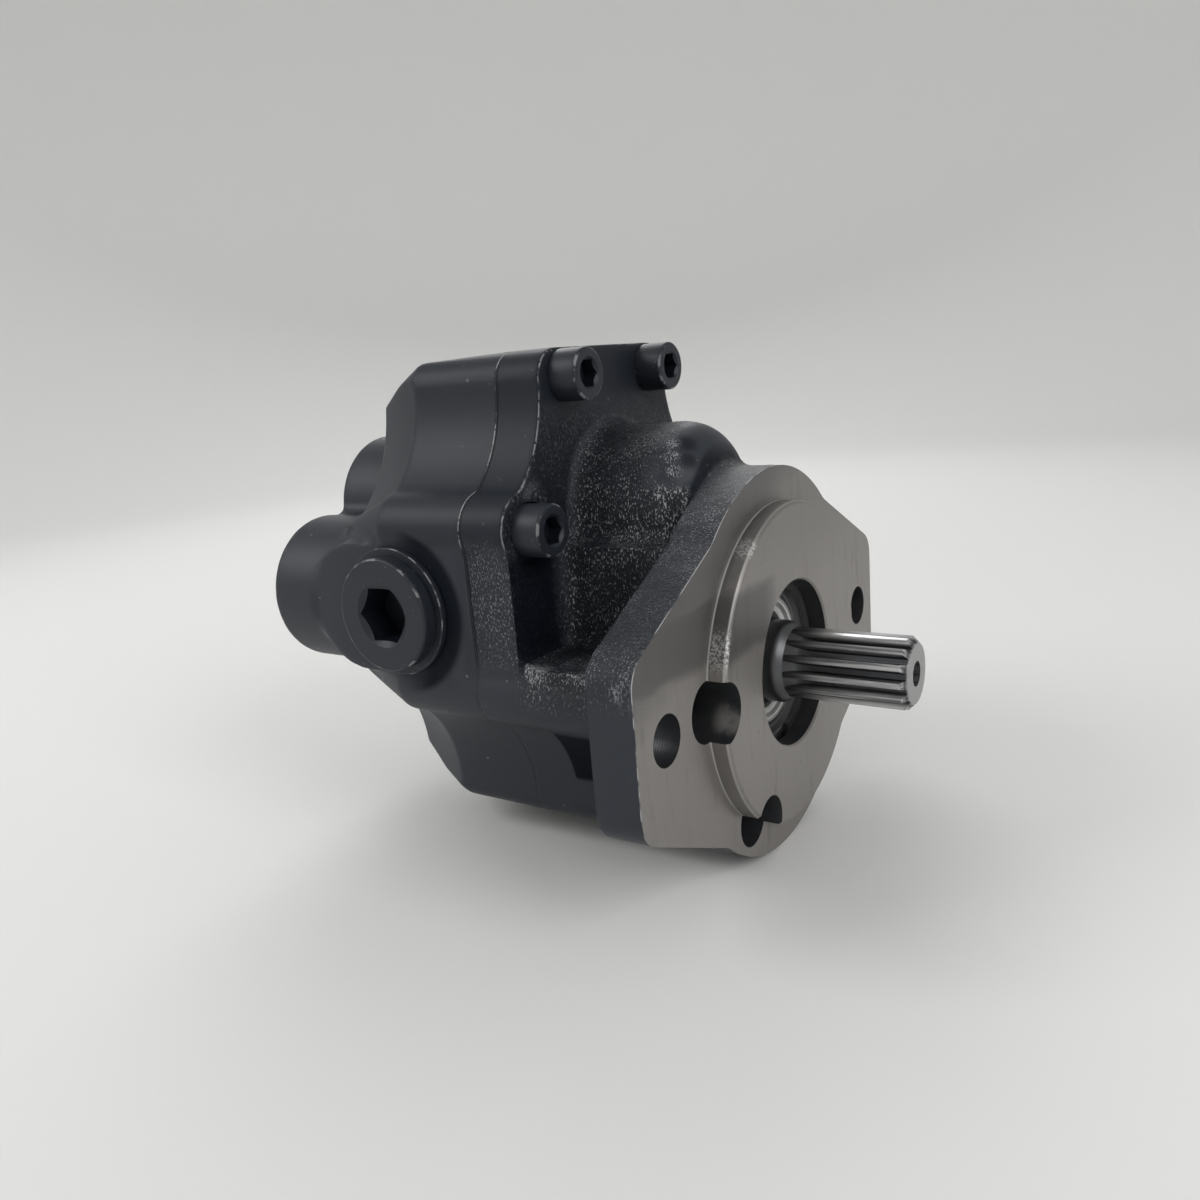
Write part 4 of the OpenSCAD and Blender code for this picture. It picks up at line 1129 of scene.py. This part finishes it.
class PUMP_OT_stage(bpy.types.Operator):
    """Pale round backdrop, soft lamps and the camera"""

    bl_idname = "pump.stage"
    bl_label = "Stage"

    def execute(self, context):
        look = context.scene.pump_stage
        scene = context.scene
        floor_z = COVER_LOW.z - 0.2 * MM
        floor_r, bend, wall_top, steps = 1.3, 0.5, 2.2, 8
        profile = [(0, 0), (floor_r, 0)]
        for k in range(1, steps + 1):
            turn = math.radians(90 * k / steps)
            profile.append((floor_r + bend * math.sin(turn), bend * (1 - math.cos(turn))))
        profile.append((floor_r + bend, wall_top))
        bm = bmesh.new()
        verts = [bm.verts.new((r, 0, floor_z + z)) for r, z in profile]
        edges = [bm.edges.new(pair) for pair in zip(verts, verts[1:])]
        bmesh.ops.spin(
            bm, geom=verts + edges, cent=(0, 0, 0), axis=(0, 0, 1), angle=math.tau, steps=72,
            use_merge=True,
        )
        bmesh.ops.remove_doubles(bm, verts=bm.verts, dist=1e-6)
        backdrop = loose_object("backdrop", bm)
        backdrop.data.shade_smooth()
        recipe = Recipe("backdrop_paper")
        recipe.set(Base_Color=rgba(look.floor), Roughness=0.9)
        backdrop.data.materials.append(recipe.material)
        world = bpy.data.worlds.new("room")
        world.use_nodes = True
        ground = world.node_tree.nodes["Background"]
        ground.inputs["Color"].default_value = rgba(look.room)
        ground.inputs["Strength"].default_value = look.room_strength
        scene.world = world
        lamps = (
            ("left_lamp", (-0.9, -0.75, 0.85), 0.7, look.left_power),
            ("right_lamp", (0.95, -0.35, 0.7), 0.6, look.right_power),
            ("rear_lamp", (-0.7, 0.9, 0.9), 0.8, look.rear_power),
        )
        aim = Vector((-0.06, 0, 0.02))
        for name, spot, size, power in lamps:
            data = bpy.data.lights.new(name, "AREA")
            data.size = size
            data.energy = power
            lamp = bpy.data.objects.new(name, data)
            lamp.location = spot
            lamp.rotation_euler = (Vector(spot) - aim).to_track_quat("Z", "Y").to_euler()
            scene.collection.objects.link(lamp)
        camera = bpy.data.objects.new("camera", bpy.data.cameras.new("camera"))
        camera.data.lens = look.lens
        camera.data.sensor_width = 36
        camera.data.clip_start = 0.01
        back = Vector((
            math.sin(look.azimuth) * math.cos(look.elevation),
            -math.cos(look.azimuth) * math.cos(look.elevation),
            math.sin(look.elevation),
        ))
        level = back.to_track_quat("Z", "Y").to_matrix().to_4x4()
        turn = level @ Matrix.Rotation(look.roll, 4, "Z")
        camera.matrix_world = Matrix.Translation(look.camera_place) @ turn
        scene.collection.objects.link(camera)
        scene.camera = camera
        scene.view_settings.view_transform = "Standard"
        return {"FINISHED"}


# Settings

def colour(name, description, default):
    """Colour property."""
    return bpy.props.FloatVectorProperty(
        name=name, description=description, default=default, subtype="COLOR", size=3, min=0, max=1
    )


def number(name, description, default, **options):
    """Number property."""
    return bpy.props.FloatProperty(name=name, description=description, default=default, **options)


def length(name, description, default):
    """Length property, in metres."""
    return number(name, description, default, unit="LENGTH", subtype="DISTANCE", precision=4)


def power(name, description, default):
    """Lamp power property, in watts."""
    return number(name, description, default, min=0, unit="POWER")


def angle(name, description, degrees):
    """Angle property, with its default in degrees."""
    return number(name, description, math.radians(degrees), subtype="ANGLE")


class PumpCastingSettings(bpy.types.PropertyGroup):
    voxel: length("Mesh Size", "Edge length of the rounded castings' mesh", 1 * MM)
    fillet: length("Fillet", "Radius of the fillets in the castings' hollow corners", 2.4 * MM)
    softening: bpy.props.IntProperty(
        name="Softening", description="Passes that round the castings' outer corners", default=5,
        min=0, max=40,
    )
    sand_depth: length("Sand Depth", "Depth of the sand mould's grain", 0.22 * MM)


class PumpFastenerSettings(bpy.types.PropertyGroup):
    head_round: length("Head Round", "Rounding of the cap screws' heads", 1.1 * MM)
    screw_socket: length("Screw Socket", "Width across the cap screws' hexagons", 8 * MM)
    plug_round: length("Plug Round", "Rounding of the side plugs' heads", 1 * MM)
    plug_socket: length("Plug Socket", "Width across the side plugs' hexagons", 17 * MM)


class PumpFinishSettings(bpy.types.PropertyGroup):
    paint: colour("Paint", "Main colour of the paint", (0.0176, 0.0213, 0.0290))
    paint_light: colour("Light Paint", "Paint where it lies thicker", (0.0254, 0.0294, 0.0383))
    # Also the colour of painted shade in pockets, creases and sockets
    paint_deep: colour("Deep Paint", "Paint on the rough cast skin", (0.0035, 0.005, 0.009))
    # Colour of the painted glints and glint specks
    glint: colour("Glint", "Bright grains in the rough skin", (0.36, 0.367, 0.385))
    worn_edge: colour("Worn Edge", "Bare metal along the joint's edges", (0.40, 0.40, 0.41))
    iron: colour("Iron", "Faced cast iron", (0.26, 0.245, 0.232))
    # Also the colour of the painted light in the near access hole
    iron_light: colour("Light Iron", "Faced cast iron where it is cleaner", (0.31, 0.294, 0.282))
    # Also the painted dark reflection on the face, and the face darker towards the top
    iron_dark: colour("Dark Iron", "Stained, misted or oily iron", (0.075, 0.075, 0.078))
    # Iron in the holes, kept dark
    bore: colour("Bores", "Oily iron in the holes", (0.022, 0.025, 0.031))
    # Painted highlights and reflections on the pilot's rim, and the bright pressed sheet
    rim_bright: colour("Bright Rim", "Polished patches of the pilot's rim", (0.72, 0.72, 0.70))
    steel: colour("Steel", "Ground steel", (0.20, 0.20, 0.205))
    steel_light: colour("Light Steel", "Brightest streaks in the steel", (0.62, 0.62, 0.62))
    steel_dark: colour("Dark Steel", "Steel down in the tooth spaces", (0.04, 0.042, 0.047))
    bronze: colour("Bronze", "Bearing bronze", (0.46, 0.33, 0.17))
    bronze_light: colour("Light Bronze", "Clean bearing bronze", (0.60, 0.46, 0.26))
    rubber: colour("Rubber", "Seal rubber", (0.012, 0.012, 0.013))
    rubber_light: colour("Rubber Bloom", "Bloom on the rubber", (0.03, 0.029, 0.028))
    nylon: colour("Nylon", "Natural nylon", (0.55, 0.53, 0.46))
    nylon_light: colour("Light Nylon", "Natural nylon where it is thinner", (0.68, 0.66, 0.59))
    sand_depth: length("Sand Relief", "Depth of the sand grain in the paint's relief", 0.7 * MM)


class PumpStageSettings(bpy.types.PropertyGroup):
    floor: colour("Floor", "Colour of the floor and backdrop", (0.78, 0.78, 0.77))
    room: colour("Room", "Colour of the room's light", (1.0, 1.0, 1.0))
    room_strength: number("Room Strength", "Strength of the light from all round", 0.45, min=0)
    left_power: power("Left Lamp", "Lamp over the suction side", 7)
    right_power: power("Right Lamp", "Lamp before the flange", 5.5)
    rear_power: power("Rear Lamp", "Lamp behind the pump", 6)
    lens: number("Lens", "Focal length of the camera", 29.6, min=1, unit="CAMERA")
    azimuth: angle("Azimuth", "Camera's angle round the pump", 34.347)
    elevation: angle("Elevation", "Camera's angle above the pump", 13.216)
    roll: angle("Roll", "Camera's turn about its own line of sight", -4.875)
    camera_place: bpy.props.FloatVectorProperty(
        name="Camera Place", description="Where the camera stands",
        default=(0.1234, -0.2787, 0.0950), subtype="TRANSLATION", unit="LENGTH", precision=4,
    )


SETTINGS = {
    "pump_castings": PumpCastingSettings,
    "pump_fasteners": PumpFastenerSettings,
    "pump_finishes": PumpFinishSettings,
    "pump_stage": PumpStageSettings,
}

OPERATORS = (
    PUMP_OT_stage,
    PUMP_OT_castings,
    PUMP_OT_cap_screws,
    PUMP_OT_side_plugs,
    PUMP_OT_shaft_end,
    PUMP_OT_shaft_seal,
    PUMP_OT_inner_parts,
)


class PUMP_PT_panel(bpy.types.Panel):
    """Lists the pump's pieces and their settings"""

    bl_idname = "PUMP_PT_panel"
    bl_label = "Gear Pump"
    bl_space_type = "VIEW_3D"
    bl_region_type = "UI"
    bl_category = "Gear Pump"

    def draw(self, context):
        layout = self.layout
        for operator in OPERATORS:
            layout.operator(operator.bl_idname)
        for group in SETTINGS:
            settings = getattr(context.scene, group)
            for key in settings.bl_rna.properties.keys():
                if key not in {"rna_type", "name"}:
                    layout.prop(settings, key)


def register():
    for group in SETTINGS.values():
        bpy.utils.register_class(group)
    for name, group in SETTINGS.items():
        setattr(bpy.types.Scene, name, bpy.props.PointerProperty(type=group))
    for operator in OPERATORS:
        bpy.utils.register_class(operator)
    bpy.utils.register_class(PUMP_PT_panel)


def unregister():
    bpy.utils.unregister_class(PUMP_PT_panel)
    for operator in reversed(OPERATORS):
        bpy.utils.unregister_class(operator)
    for name, group in SETTINGS.items():
        delattr(bpy.types.Scene, name)
        bpy.utils.unregister_class(group)


def main():
    """Makes the stage and every piece."""
    register()
    for operator in OPERATORS:
        group, action = operator.bl_idname.split(".")
        getattr(getattr(bpy.ops, group), action)()


if __name__ == "__main__":
    main()
